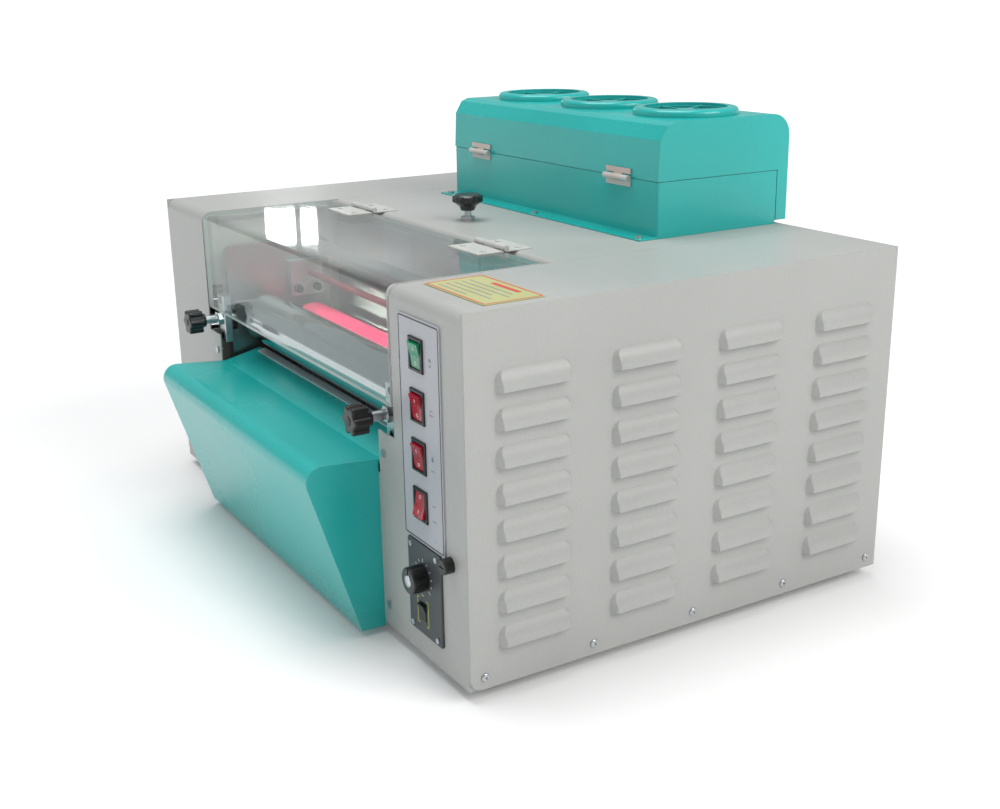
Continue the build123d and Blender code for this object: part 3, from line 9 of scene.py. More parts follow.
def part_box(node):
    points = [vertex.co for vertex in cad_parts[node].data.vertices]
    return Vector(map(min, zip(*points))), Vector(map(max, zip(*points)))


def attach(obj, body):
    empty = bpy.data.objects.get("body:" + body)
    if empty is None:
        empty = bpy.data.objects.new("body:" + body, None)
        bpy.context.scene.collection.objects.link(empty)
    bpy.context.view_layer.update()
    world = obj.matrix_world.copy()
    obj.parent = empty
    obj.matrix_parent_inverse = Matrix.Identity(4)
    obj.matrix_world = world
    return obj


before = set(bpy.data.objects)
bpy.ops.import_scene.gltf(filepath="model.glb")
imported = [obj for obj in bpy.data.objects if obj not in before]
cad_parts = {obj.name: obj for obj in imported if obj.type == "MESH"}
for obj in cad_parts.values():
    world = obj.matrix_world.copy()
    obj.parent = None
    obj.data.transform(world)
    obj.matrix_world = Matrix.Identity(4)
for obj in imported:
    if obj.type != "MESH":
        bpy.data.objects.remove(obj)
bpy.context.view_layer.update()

mm = 0.001


# ------------------------------------------------------------------ camera, lights and floor
# The machine stands on a pale bench top in a photo studio. The camera is right of the front
# corner and a little above the lamp house. A broad soft light hangs on the right and above,
# so the front of the machine is its darker side.
camera_data = bpy.data.cameras.new("studio_camera")
camera_data.sensor_width = 36
camera_data.lens = 46.9
camera_data.clip_end = 200
camera = bpy.data.objects.new("studio_camera", camera_data)
bpy.context.scene.collection.objects.link(camera)
camera_turn = math.radians(58.82)
camera_dip = math.radians(17.588)
camera_roll = math.radians(-0.868)
camera.matrix_world = (
    Matrix.Translation((1.2876, -0.7309, 0.6129))
    @ Matrix.Rotation(camera_turn, 4, "Z")
    @ Matrix.Rotation(math.pi / 2 - camera_dip, 4, "X")
    @ Matrix.Rotation(camera_roll, 4, "Z")
)
bpy.context.scene.camera = camera
bpy.context.scene.view_settings.view_transform = "Standard"


def linear(code, alpha=1.0):
    """sRGB hex colour as linear RGBA."""
    shares = [int(code[i:i + 2], 16) / 255 for i in (1, 3, 5)]
    return [c / 12.92 if c <= 0.04045 else ((c + 0.055) / 1.055) ** 2.4 for c in shares] + [alpha]


def add_node(tree, kind, settings={}, links={}):
    """One shader node with its settings, and its inputs fed by other nodes' outputs."""
    node = tree.nodes.new(kind)
    for name, value in settings.items():
        if isinstance(name, str) and hasattr(node, name):
            setattr(node, name, value)
        else:
            node.inputs[name].default_value = value
    for name, source in links.items():
        tree.links.new(source, node.inputs[name])
    return node


def new_tree(name):
    """Empty node tree of a new material."""
    material = bpy.data.materials.new(name)
    material.use_nodes = True
    material.node_tree.nodes.clear()
    return material, material.node_tree


def area_light(name, place, aim, width, height, watts, tint, spread=180):
    """Rectangular soft box that looks at a point, its beam narrowed by a grid if spread is small."""
    data = bpy.data.lights.new(name, "AREA")
    data.shape = "RECTANGLE"
    data.size = width
    data.size_y = height
    data.energy = watts
    data.color = linear(tint)[:3]
    data.spread = math.radians(spread)
    light = bpy.data.objects.new(name, data)
    light.location = place
    light.rotation_mode = "QUATERNION"
    light.rotation_quaternion = (Vector(aim) - Vector(place)).to_track_quat("-Z", "Y")
    bpy.context.scene.collection.objects.link(light)


world = bpy.data.worlds.new("studio")
world.use_nodes = True
# the studio walls light the machine softly, and the backdrop itself reads as pure white
sky = world.node_tree
soft_walls = sky.nodes["Background"]
soft_walls.inputs["Color"].default_value = linear("#f4f7fa")
soft_walls.inputs["Strength"].default_value = 0.42
backdrop = add_node(sky, "ShaderNodeBackground", {"Color": (1, 1, 1, 1), "Strength": 1.0})
seen = add_node(sky, "ShaderNodeLightPath")
both = add_node(
    sky,
    "ShaderNodeMixShader",
    {},
    {0: seen.outputs["Is Camera Ray"], 1: soft_walls.outputs[0], 2: backdrop.outputs[0]},
)
sky.links.new(both.outputs[0], sky.nodes["World Output"].inputs["Surface"])
bpy.context.scene.world = world
# two soft boxes, a weak front fill, a gridded strip for the bay, and the two panes of a far window
area_light("key_right", (2.6, 1.3, 2.4), (0, 0, 0.2), 2.2, 1.8, 62, "#fffdfa")
area_light("key_top", (-0.3, -0.3, 3.0), (0, -0.1, 0.3), 2.0, 2.0, 62, "#ffffff")
area_light("fill_front", (0.2, -3.2, 1.5), (0, 0, 0.2), 1.6, 1.2, 3, "#f6fbff")
area_light("bay_beam", (-0.05, -1.6, 1.75), (0, -0.06, 0.235), 0.34, 0.04, 0.42, "#fffaf4", spread=4)
area_light("window_wide", (-2.9, 0.935, 0.865), (-0.1, -0.17, 0.36), 0.10, 0.11, 0.4, "#ffffff")
area_light("window_slim", (-2.9, 1.04, 0.875), (-0.1, -0.17, 0.36), 0.055, 0.11, 0.2, "#ffffff")

# the floor: matt painted board, with the faint tone changes of rolled paint
floor_paint, tree = new_tree("matt_white_board")
place = add_node(tree, "ShaderNodeTexCoord")
cloud = add_node(
    tree, "ShaderNodeTexNoise", {"Scale": 3.0, "Detail": 3.0}, {"Vector": place.outputs["Object"]}
)
tone = add_node(
    tree,
    "ShaderNodeMix",
    {"data_type": "RGBA", 6: linear("#f3f3f2"), 7: linear("#f8f8f8")},
    {0: cloud.outputs["Fac"]},
)
# painted light: the board glows by itself, faintly near the machine and more brightly away from it, so it
# reads white far off while the shadow under the machine stays visible
spread = add_node(
    tree, "ShaderNodeVectorMath", {"operation": "LENGTH"}, {0: place.outputs["Object"]}
)
painted_floor_glow = add_node(
    tree,
    "ShaderNodeMapRange",
    {"From Min": 0.8, "From Max": 4.0, "To Min": 0.06, "To Max": 0.72},
    {"Value": spread.outputs["Value"]},
)
skin = add_node(
    tree,
    "ShaderNodeBsdfPrincipled",
    {"Roughness": 0.85, "Emission Color": (1, 1, 1, 1)},
    {"Base Color": tone.outputs[2], "Emission Strength": painted_floor_glow.outputs["Result"]},
)
add_node(tree, "ShaderNodeOutputMaterial", {}, {"Surface": skin.outputs[0]})
mesh = bmesh.new()
floor_reach = 90
bmesh.ops.create_circle(mesh, cap_ends=True, segments=64, radius=floor_reach)
floor_mesh = bpy.data.meshes.new("studio_floor")
mesh.to_mesh(floor_mesh)
mesh.free()
floor_mesh.materials.append(floor_paint)
floor = bpy.data.objects.new("studio_floor", floor_mesh)
bpy.context.scene.collection.objects.link(floor)


# ------------------------------------------------------------------ casing sheets
# Folded 1.5 mm steel sheet: front, two louvred sides, centre panel, base pan and tower walls.
# It is powder coated in a pale grey, which leaves a satin skin with a fine orange peel. A paler line runs
# along every fold and cut edge: partly rubbed wear, partly a painted highlight where the edges catch the
# light.
def paint_on_steel(name, base, shade, edge, roughness, peel_mm, peel_depth_mm, cloud_m=0.22):
    """Paint on sheet steel: slow tone drift, orange peel, and paler edges that are partly rubbed wear and
    partly a painted highlight.
    """
    material, tree = new_tree(name)
    place = add_node(tree, "ShaderNodeTexCoord")
    drift = add_node(
        tree,
        "ShaderNodeTexNoise",
        {"Scale": 1 / cloud_m, "Detail": 4.0, "Roughness": 0.55},
        {"Vector": place.outputs["Object"]},
    )
    speck = add_node(
        tree,
        "ShaderNodeTexNoise",
        {"Scale": 1 / (2.6 * mm), "Detail": 2.0},
        {"Vector": place.outputs["Object"]},
    )
    peel = add_node(
        tree,
        "ShaderNodeTexNoise",
        {"Scale": 1 / (peel_mm * mm), "Detail": 1.5, "Roughness": 0.4},
        {"Vector": place.outputs["Object"]},
    )
    drift_range = add_node(
        tree, "ShaderNodeMapRange", {"From Min": 0.35, "From Max": 0.65}, {"Value": drift.outputs["Fac"]}
    )
    body_tone = add_node(
        tree,
        "ShaderNodeMix",
        {"data_type": "RGBA", 6: linear(shade), 7: linear(base)},
        {0: drift_range.outputs["Result"]},
    )
    speck_range = add_node(
        tree,
        "ShaderNodeMapRange",
        {"From Min": 0.3, "From Max": 0.7, "To Min": 0.965, "To Max": 1.02},
        {"Value": speck.outputs["Fac"]},
    )
    speckled = add_node(
        tree,
        "ShaderNodeVectorMath",
        {"operation": "SCALE"},
        {0: body_tone.outputs[2], "Scale": speck_range.outputs["Result"]},
    )
    rounded = add_node(tree, "ShaderNodeBevel", {"samples": 4, "Radius": 1.1 * mm})
    true_face = add_node(tree, "ShaderNodeNewGeometry")
    bend = add_node(
        tree,
        "ShaderNodeVectorMath",
        {"operation": "DOT_PRODUCT"},
        {0: rounded.outputs["Normal"], 1: true_face.outputs["Normal"]},
    )
    # paler edges found by the bevel: partly rubbed wear, partly a painted highlight; edge is the colour of
    # this line
    worn_and_lit_edge = add_node(
        tree,
        "ShaderNodeMapRange",
        {"From Min": 0.97, "From Max": 0.80, "To Min": 0.0, "To Max": 0.55},
        {"Value": bend.outputs["Value"]},
    )
    colour = add_node(
        tree,
        "ShaderNodeMix",
        {"data_type": "RGBA", 7: linear(edge)},
        {0: worn_and_lit_edge.outputs["Result"], 6: speckled.outputs["Vector"]},
    )
    gloss = add_node(
        tree,
        "ShaderNodeMapRange",
        {"From Min": 0.3, "From Max": 0.7, "To Min": roughness - 0.05, "To Max": roughness + 0.07},
        {"Value": drift.outputs["Fac"]},
    )
    bump = add_node(
        tree,
        "ShaderNodeBump",
        {"Strength": 0.6, "Distance": peel_depth_mm * mm},
        {"Height": peel.outputs["Fac"], "Normal": rounded.outputs["Normal"]},
    )
    skin = add_node(
        tree,
        "ShaderNodeBsdfPrincipled",
        {"IOR": 1.5, "Coat Weight": 0.15, "Coat Roughness": 0.25},
        {
            "Base Color": colour.outputs[2],
            "Roughness": gloss.outputs["Result"],
            "Normal": bump.outputs["Normal"],
        },
    )
    add_node(tree, "ShaderNodeOutputMaterial", {}, {"Surface": skin.outputs[0]})
    return material


def give(material, *names):
    """The CAD nodes with these names get this material in every slot."""
    for name in names:
        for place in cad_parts[name].material_slots:
            place.material = material


powder_coat = paint_on_steel(
    "powder_coat_pale_grey", "#b0b1ae", "#aaaba8", "#c6c8c6", 0.42, peel_mm=1.6, peel_depth_mm=0.06
)
give(powder_coat, "front_panel", "left_side_panel", "right_side_panel", "centre_panel", "base_pan")
# the walls that face the rollers get a paler, warmer copy of the coat: painted light, standing in for the
# light that does not reach into the deep bay
bay_walls_painted_light_coat = paint_on_steel(
    "powder_coat_inner_walls_painted_lighter", "#d3cfc8", "#cbc7c0", "#dedcd7", 0.45, peel_mm=1.6, peel_depth_mm=0.06
)
give(bay_walls_painted_light_coat, "inner_walls")


# The sheets are held by pan-head steel screws along the foot of each side, up the rear wall
# and beside the sheet exit. Each is a turned zinc-plated head with a driver recess.
def finish_piece(mesh, name, material, body, smooth=True):
    """Turns a finished bmesh into a piece that rides on a body and takes a slot's finish."""
    bmesh.ops.remove_doubles(mesh, verts=mesh.verts, dist=1e-7)
    bmesh.ops.recalc_face_normals(mesh, faces=mesh.faces)
    data = bpy.data.meshes.new(name)
    mesh.to_mesh(data)
    mesh.free()
    data.materials.append(material)
    if smooth:
        data.set_sharp_from_angle(angle=math.radians(35))
    piece = bpy.data.objects.new(name, data)
    bpy.context.scene.collection.objects.link(piece)
    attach(piece, body)
    return piece


def screw_head(mesh, centre, facing, radius, height):
    """Domed head with a cross-shaped recess, its foot on a surface that looks along facing."""
    start = set(mesh.verts)
    made = bmesh.ops.create_circle(mesh, cap_ends=True, segments=24, radius=radius)
    rim = made["verts"][0].link_faces[0]
    wall = bmesh.ops.extrude_face_region(mesh, geom=[rim])
    top = [v for v in wall["geom"] if isinstance(v, bmesh.types.BMVert)]
    bmesh.ops.translate(mesh, verts=top, vec=(0, 0, height * 0.55))
    cap = [f for f in wall["geom"] if isinstance(f, bmesh.types.BMFace)]
    for shrink, lift in ((0.14, 0.27), (0.24, 0.14), (0.28, 0.04)):
        bmesh.ops.inset_region(mesh, faces=cap, thickness=radius * shrink)
        bmesh.ops.translate(mesh, verts=list({v for f in cap for v in f.verts}), vec=(0, 0, height * lift))
    bmesh.ops.inset_region(mesh, faces=cap, thickness=radius * 0.02)
    bmesh.ops.translate(mesh, verts=list({v for f in cap for v in f.verts}), vec=(0, 0, -height * 0.6))
    fresh = [v for v in mesh.verts if v not in start]
    turn = Vector(facing).to_track_quat("Z", "Y").to_matrix().to_4x4()
    bmesh.ops.transform(mesh, matrix=Matrix.Translation(centre) @ turn, verts=fresh)


zinc_plate, tree = new_tree("zinc_plated_steel")
# bright zinc: fine matt grain with soft grey clouds from the bath
place = add_node(tree, "ShaderNodeTexCoord")
cloud = add_node(
    tree, "ShaderNodeTexNoise", {"Scale": 1 / (9 * mm), "Detail": 4.0}, {"Vector": place.outputs["Object"]}
)
grain = add_node(
    tree,
    "ShaderNodeTexNoise",
    {"Scale": 1 / (0.8 * mm), "Detail": 2.0},
    {"Vector": place.outputs["Object"]},
)
tone = add_node(
    tree,
    "ShaderNodeMix",
    {"data_type": "RGBA", 6: linear("#a9adb0"), 7: linear("#d3d6d8")},
    {0: cloud.outputs["Fac"]},
)
gloss = add_node(
    tree, "ShaderNodeMapRange", {"To Min": 0.28, "To Max": 0.48}, {"Value": cloud.outputs["Fac"]}
)
bump = add_node(
    tree,
    "ShaderNodeBump",
    {"Strength": 0.3, "Distance": 0.03 * mm},
    {"Height": grain.outputs["Fac"]},
)
skin = add_node(
    tree,
    "ShaderNodeBsdfPrincipled",
    {"Metallic": 1.0},
    {"Base Color": tone.outputs[2], "Roughness": gloss.outputs["Result"], "Normal": bump.outputs["Normal"]},
)
add_node(tree, "ShaderNodeOutputMaterial", {}, {"Surface": skin.outputs[0]})

wall_low, wall_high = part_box("base_pan")
casing_sheet = 1.5 * mm
side_face = wall_high.x + casing_sheet
head_radius = 4 * mm
head_height = 2.2 * mm
foot_row = 5
foot_row_inset = 14 * mm
edge_inset = 12 * mm
rear_heights_mm = (40, 130, 250, 335)
exit_columns_mm = (-110, 0, 110)
exit_rows_mm = (120, 236)
mesh = bmesh.new()
for side in (1, -1):
    for step in range(foot_row):
        row_length = wall_high.y - wall_low.y - 2 * foot_row_inset
        along = wall_low.y + foot_row_inset + step * row_length / (foot_row - 1)
        spot = (side * side_face, along, wall_low.z + edge_inset)
        screw_head(mesh, spot, (side, 0, 0), head_radius, head_height)
    for height in rear_heights_mm:
        spot = (side * (side_face - edge_inset), wall_high.y, height * mm)
        screw_head(mesh, spot, (0, 1, 0), head_radius, head_height)
for across in exit_columns_mm:
    for height in exit_rows_mm:
        screw_head(mesh, (across * mm, wall_high.y, height * mm), (0, 1, 0), head_radius, head_height)
finish_piece(mesh, "sheet_screws", zinc_plate, "machine")
give(zinc_plate, "panel_screws")


# ------------------------------------------------------------------ feet and power inlet
# Four turned rubber feet on bolts carry the base pan. The inlet is a moulded black plastic
# socket with three bare pins, clipped in the rear wall.
def moulded(name, base, worn, roughness, grain_mm, grain_depth_mm, slip=0.0):
    """Moulded rubber or plastic: spark-eroded grain and a slightly dusty, paler tone."""
    material, tree = new_tree(name)
    place = add_node(tree, "ShaderNodeTexCoord")
    cloud = add_node(
        tree,
        "ShaderNodeTexNoise",
        {"Scale": 1 / (14 * mm), "Detail": 4.0},
        {"Vector": place.outputs["Object"]},
    )
    grain = add_node(
        tree,
        "ShaderNodeTexVoronoi",
        {"Scale": 1 / (grain_mm * mm)},
        {"Vector": place.outputs["Object"]},
    )
    tone = add_node(
        tree,
        "ShaderNodeMix",
        {"data_type": "RGBA", 6: linear(base), 7: linear(worn)},
        {0: cloud.outputs["Fac"]},
    )
    gloss = add_node(
        tree,
        "ShaderNodeMapRange",
        {"To Min": roughness - 0.06, "To Max": roughness + 0.08},
        {"Value": cloud.outputs["Fac"]},
    )
    bump = add_node(
        tree,
        "ShaderNodeBump",
        {"Strength": 0.4, "Distance": grain_depth_mm * mm},
        {"Height": grain.outputs["Distance"]},
    )
    skin = add_node(
        tree,
        "ShaderNodeBsdfPrincipled",
        {"IOR": 1.5, "Coat Weight": slip, "Coat Roughness": 0.1},
        {
            "Base Color": tone.outputs[2],
            "Roughness": gloss.outputs["Result"],
            "Normal": bump.outputs["Normal"],
        },
    )
    add_node(tree, "ShaderNodeOutputMaterial", {}, {"Surface": skin.outputs[0]})
    return material


black_rubber = moulded("black_rubber", "#1b1b1c", "#262627", 0.68, 0.9, 0.05)
black_plastic = moulded("black_phenolic", "#0a0a0b", "#131314", 0.34, 1.1, 0.02, slip=0.1)
give(black_rubber, "feet")
give(black_plastic, "power_inlet", "fuse_holder")


# ------------------------------------------------------------------ frame plates, ties and brackets
# Two milled steel plates stand between the towers and carry the rollers. Silver end bars and
# bar holders are bolted on with dark socket screws.
def bare_metal(name, bright, dull, low, high, stretch, line_mm, depth_mm):
    """Bare metal with fine lines drawn along the axis whose stretch is small."""
    material, tree = new_tree(name)
    place = add_node(tree, "ShaderNodeTexCoord")
    drawn = add_node(tree, "ShaderNodeMapping", {"Scale": stretch}, {"Vector": place.outputs["Object"]})
    lines = add_node(
        tree,
        "ShaderNodeTexNoise",
        {"Scale": 1 / (line_mm * mm), "Detail": 3.0},
        {"Vector": drawn.outputs["Vector"]},
    )
    cloud = add_node(
        tree,
        "ShaderNodeTexNoise",
        {"Scale": 1 / (35 * mm), "Detail": 3.0},
        {"Vector": place.outputs["Object"]},
    )
    tone = add_node(
        tree,
        "ShaderNodeMix",
        {"data_type": "RGBA", 6: linear(dull), 7: linear(bright)},
        {0: lines.outputs["Fac"]},
    )
    gloss = add_node(
        tree,
        "ShaderNodeMapRange",
        {"To Min": low, "To Max": high},
        {"Value": cloud.outputs["Fac"]},
    )
    bump = add_node(
        tree,
        "ShaderNodeBump",
        {"Strength": 0.25, "Distance": depth_mm * mm},
        {"Height": lines.outputs["Fac"]},
    )
    skin = add_node(
        tree,
        "ShaderNodeBsdfPrincipled",
        {"Metallic": 1.0},
        {
            "Base Color": tone.outputs[2],
            "Roughness": gloss.outputs["Result"],
            "Normal": bump.outputs["Normal"],
        },
    )
    add_node(tree, "ShaderNodeOutputMaterial", {}, {"Surface": skin.outputs[0]})
    return material


milled_steel = bare_metal("milled_steel", "#b7b9ba", "#8f9294", 0.30, 0.42, (1, 0.05, 1), 0.6, 0.02)
brushed_aluminium = bare_metal("brushed_aluminium", "#dcdfe2", "#b4b8bc", 0.30, 0.44, (1, 1, 0.06), 0.5, 0.02)
black_oxide = bare_metal("black_oxide_steel", "#3a3b3d", "#242527", 0.35, 0.5, (1, 1, 1), 0.8, 0.02)
give(milled_steel, "frame_plates", "cross_ties", "bearing_blocks", "bearings", "slider_bed", "drip_tray")
give(brushed_aluminium, "roller_brackets")
give(black_oxide, "bracket_bolts")


# ------------------------------------------------------------------ rollers
# The metering roller is ground steel with hard chrome, the coating roller has a pink rubber
# sleeve on a steel core, and the lower roller is plain ground steel.
hard_chrome = bare_metal("hard_chrome_roller", "#c6cacd", "#b9bec2", 0.06, 0.11, (0.02, 1, 1), 1.2, 0.0006)
ground_steel = bare_metal("ground_steel", "#c3c5c7", "#9a9da0", 0.22, 0.34, (1, 0.08, 0.08), 0.5, 0.004)
give(hard_chrome, "metering_roller")
give(ground_steel, "coating_roller_core", "impression_roller", "conveyor_idler", "conveyor_drive_roller")
pink_rubber = moulded("pink_nitrile_rubber", "#c4204f", "#d13663", 0.4, 0.7, 0.01, slip=0.1)
give(pink_rubber, "coating_roller_sleeve")


# ------------------------------------------------------------------ screws and star knobs
# Long zinc-plated screws set the gap between the rollers. Their star knobs are black phenolic,
# moulded glossy, and each has a black plug in its middle that hides the nut.
give(zinc_plate, "left_screw_stem", "right_screw_stem")
give(black_plastic, "left_star_knob", "right_star_knob")


def lathe(mesh, profile, centre, facing, steps=48):
    """Turned shape: (radius, height) points spun about an axis that starts at centre along facing."""
    start = set(mesh.verts)
    points = [mesh.verts.new((radius, 0, height)) for radius, height in profile]
    edges = [mesh.edges.new(pair) for pair in zip(points, points[1:])]
    bmesh.ops.spin(
        mesh,
        geom=points + edges,
        cent=(0, 0, 0),
        axis=(0, 0, 1),
        angle=2 * math.pi,
        steps=steps,
        use_merge=True,
    )
    fresh = [v for v in mesh.verts if v not in start]
    bmesh.ops.remove_doubles(mesh, verts=fresh, dist=1e-7)
    fresh = [v for v in mesh.verts if v not in start]
    turn = Vector(facing).to_track_quat("Z", "Y").to_matrix().to_4x4()
    bmesh.ops.transform(mesh, matrix=Matrix.Translation(centre) @ turn, verts=fresh)


for side, body in (("left", "left_screw"), ("right", "right_screw")):
    low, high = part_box(side + "_star_knob")
    middle = (low + high) / 2
    mesh = bmesh.new()
    cap = [(0, 0.9), (3.6, 0.8), (4.6, 0.3), (4.8, -0.4), (0, -0.4)]
    lathe(mesh, [(r * mm, h * mm) for r, h in cap], (middle.x, low.y, middle.z), (0, -1, 0))
    finish_piece(mesh, side + "_knob_cap", black_plastic, body)

# ------------------------------------------------------------------ feed bar
# A drawn copper tube drips varnish on the nip of the rollers. It has dulled to a rose tone.
rose_copper = bare_metal("dulled_copper_tube", "#c06a72", "#a2545e", 0.3, 0.45, (0.05, 1, 1), 0.6, 0.02)
give(rose_copper, "feed_bar")


# ------------------------------------------------------------------ conveyor
# The sheet rides on an open glass-fibre mesh belt with a brown non-stick coating, 4 mm pitch.
mesh_belt, tree = new_tree("coated_glass_mesh")
place = add_node(tree, "ShaderNodeTexCoord")
# a Wave texture of scale 1 repeats every pi / 10 units, so this gives one thread each 4 mm
weave_scale = math.pi / 10 / (4 * mm)
warp = add_node(
    tree,
    "ShaderNodeTexWave",
    {"bands_direction": "X", "Scale": weave_scale, "Distortion": 0.0},
    {"Vector": place.outputs["Object"]},
)
weft = add_node(
    tree,
    "ShaderNodeTexWave",
    {"bands_direction": "Y", "Scale": weave_scale, "Distortion": 0.0},
    {"Vector": place.outputs["Object"]},
)
thread = add_node(
    tree,
    "ShaderNodeMath",
    {"operation": "MAXIMUM"},
    {0: warp.outputs["Fac"], 1: weft.outputs["Fac"]},
)
tone = add_node(
    tree,
    "ShaderNodeMix",
    {"data_type": "RGBA", 6: linear("#33261c"), 7: linear("#7a5c40")},
    {0: thread.outputs["Value"]},
)
bump = add_node(
    tree,
    "ShaderNodeBump",
    {"Strength": 0.8, "Distance": 0.3 * mm},
    {"Height": thread.outputs["Value"]},
)
skin = add_node(
    tree,
    "ShaderNodeBsdfPrincipled",
    {"Roughness": 0.55, "IOR": 1.45},
    {"Base Color": tone.outputs[2], "Normal": bump.outputs["Normal"]},
)
add_node(tree, "ShaderNodeOutputMaterial", {}, {"Surface": skin.outputs[0]})
give(mesh_belt, "conveyor_belt")


# ------------------------------------------------------------------ gearmotor, belts and power supply
# Inside the left tower a cast gearmotor drives the rollers through two black rubber belts.
# A folded, perforated power supply stands in the right tower.
give(brushed_aluminium, "gearmotor")
give(milled_steel, "motor_pulley")
give(black_rubber, "drive_belts")
give(zinc_plate, "power_supply")


# ------------------------------------------------------------------ control plate and its printed lines
# A thin aluminium plate, lacquered a cool lavender grey, is stuck to the front of the right
# tower, and two blank plates of the same kind to the wall at the back of the bay. A dark line
# is screen printed along its rim, with short bars instead of words beside each switch.
lavender_lacquer = paint_on_steel(
    "lavender_grey_lacquer",
    "#b2b4ba",
    "#acaeb5",
    "#cdd0d4",
    0.3,
    peel_mm=1.2,
    peel_depth_mm=0.015,
    cloud_m=0.08,
)
give(lavender_lacquer, "label_plates")


def print_ink(name, base, shade):
    """Screen-printed ink: matt, with the faint unevenness of a hand-pulled print."""
    material, tree = new_tree(name)
    place = add_node(tree, "ShaderNodeTexCoord")
    pull = add_node(
        tree,
        "ShaderNodeTexNoise",
        {"Scale": 1 / (3 * mm), "Detail": 3.0},
        {"Vector": place.outputs["Object"]},
    )
    tone = add_node(
        tree,
        "ShaderNodeMix",
        {"data_type": "RGBA", 6: linear(base), 7: linear(shade)},
        {0: pull.outputs["Fac"]},
    )
    bump = add_node(
        tree,
        "ShaderNodeBump",
        {"Strength": 0.3, "Distance": 0.02 * mm},
        {"Height": pull.outputs["Fac"]},
    )
    skin = add_node(
        tree,
        "ShaderNodeBsdfPrincipled",
        {"Roughness": 0.5, "IOR": 1.48},
        {"Base Color": tone.outputs[2], "Normal": bump.outputs["Normal"]},
    )
    add_node(tree, "ShaderNodeOutputMaterial", {}, {"Surface": skin.outputs[0]})
    return material


def print_patch(mesh, place, width, height, radius, thick, rim=0):
    """Rounded rectangle of ink in the plane of a 4x4 placement, or only its rim if rim is given."""
    start = set(mesh.verts)
    made = bmesh.ops.create_grid(mesh, x_segments=1, y_segments=1, size=0.5)
    bmesh.ops.scale(mesh, vec=(width, height, 1), verts=made["verts"])
    bmesh.ops.bevel(
        mesh,
        geom=made["verts"],
        offset=radius,
        segments=4,
        profile=0.5,
        affect="VERTICES",
        material=-1,
    )
    faces = [f for f in mesh.faces if all(v not in start for v in f.verts)]
    if rim:
        ring = bmesh.ops.inset_region(
            mesh, faces=faces, thickness=rim, use_boundary=True, use_even_offset=True
        )
        bmesh.ops.delete(mesh, geom=faces, context="FACES_ONLY")
        faces = ring["faces"]
    lifted = bmesh.ops.extrude_face_region(mesh, geom=faces)
    bmesh.ops.translate(
        mesh, verts=[v for v in lifted["geom"] if isinstance(v, bmesh.types.BMVert)], vec=(0, 0, thick)
    )
    fresh = [v for v in mesh.verts if v not in start]
    bmesh.ops.transform(mesh, matrix=place, verts=fresh)


def facing_front(x, y, z, turn=0.0):
    """Placement of a print whose face looks to the operator: local X to the right, Y up."""
    return (
        Matrix.Translation((x, y, z))
        @ Matrix.Rotation(math.pi / 2, 4, "X")
        @ Matrix.Rotation(turn, 4, "Z")
    )


dark_ink = print_ink("dark_screen_ink", "#34373c", "#43474d")
grey_ink = print_ink("grey_screen_ink", "#7f838b", "#8b8f97")
ink = 0.12 * mm
plate_low, plate_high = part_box("label_plates")
plate_left = 270 * mm
plate_foot = 130 * mm
plate_head = 343 * mm
rim_inset = 3 * mm
plate_middle = ((plate_left + plate_high.x) / 2, plate_low.y, (plate_foot + plate_head) / 2)
mesh = bmesh.new()
print_patch(
    mesh,
    facing_front(*plate_middle),
    plate_high.x - plate_left - rim_inset,
    plate_head - plate_foot - rim_inset,
    2.4 * mm,
    ink,
    rim=1.3 * mm,
)
finish_piece(mesh, "control_plate_rim_line", dark_ink, "machine", smooth=False)
# each bar: its rise above the switch's middle, its thickness and its length, in mm
mesh = bmesh.new()
for switch, bars in (
    ("green_rocker", ((0, 3, 4.5), (-5, 2, 3.5))),
    ("red_rocker_upper", ((2, 1.2, 5), (-2, 1.2, 7))),
    ("red_rocker_middle", ((5, 4, 3), (3, 1.5, 4.5), (-7, 1.2, 6))),
    ("red_rocker_lower", ((6, 1.2, 6), (-9, 1.2, 7))),
):
    low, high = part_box(switch)
    beside = high.x + 14 * mm
    for rise, thick_mm, long_mm in bars:
        spot = (beside, plate_low.y, (low.z + high.z) / 2 + rise * mm)
        print_patch(mesh, facing_front(*spot), long_mm * mm, thick_mm * mm, 0.35 * mm, ink)
finish_piece(mesh, "switch_marks", grey_ink, "machine", smooth=False)

# ------------------------------------------------------------------ rocker switches
# Each switch is a black nylon housing with a coloured rocker, moulded in gloss plastic that
# glows a little from inside. A white bar and ring are printed on its two ends.
give(black_plastic, "switch_housings")


def clear_coloured(name, base, deep):
    """Tinted gloss plastic of a lit rocker: deep colour with a bright skin."""
    material, tree = new_tree(name)
    place = add_node(tree, "ShaderNodeTexCoord")
    flow = add_node(
        tree,
        "ShaderNodeTexNoise",
        {"Scale": 1 / (6 * mm), "Detail": 3.0},
        {"Vector": place.outputs["Object"]},
    )
    tone = add_node(
        tree,
        "ShaderNodeMix",
        {"data_type": "RGBA", 6: linear(deep), 7: linear(base)},
        {0: flow.outputs["Fac"]},
    )
    gloss = add_node(
        tree,
        "ShaderNodeMapRange",
        {"To Min": 0.14, "To Max": 0.26},
        {"Value": flow.outputs["Fac"]},
    )
    skin = add_node(
        tree,
        "ShaderNodeBsdfPrincipled",
        {
            "IOR": 1.49,
            "Coat Weight": 0.5,
            "Coat Roughness": 0.06,
            "Subsurface Weight": 0.15,
            "Subsurface Radius": (0.004, 0.001, 0.001),
        },
        {"Base Color": tone.outputs[2], "Roughness": gloss.outputs["Result"]},
    )
    add_node(tree, "ShaderNodeOutputMaterial", {}, {"Surface": skin.outputs[0]})
    return material


red_gloss = clear_coloured("red_polycarbonate", "#c01433", "#960b26")
green_gloss = clear_coloured("green_polycarbonate", "#16936a", "#0b6f4d")
white_ink = print_ink("white_screen_ink", "#f2f2f0", "#e4e4e2")
give(green_gloss, "green_rocker")
give(red_gloss, "red_rocker_upper", "red_rocker_middle", "red_rocker_lower")
give(black_plastic, "run_rocker")
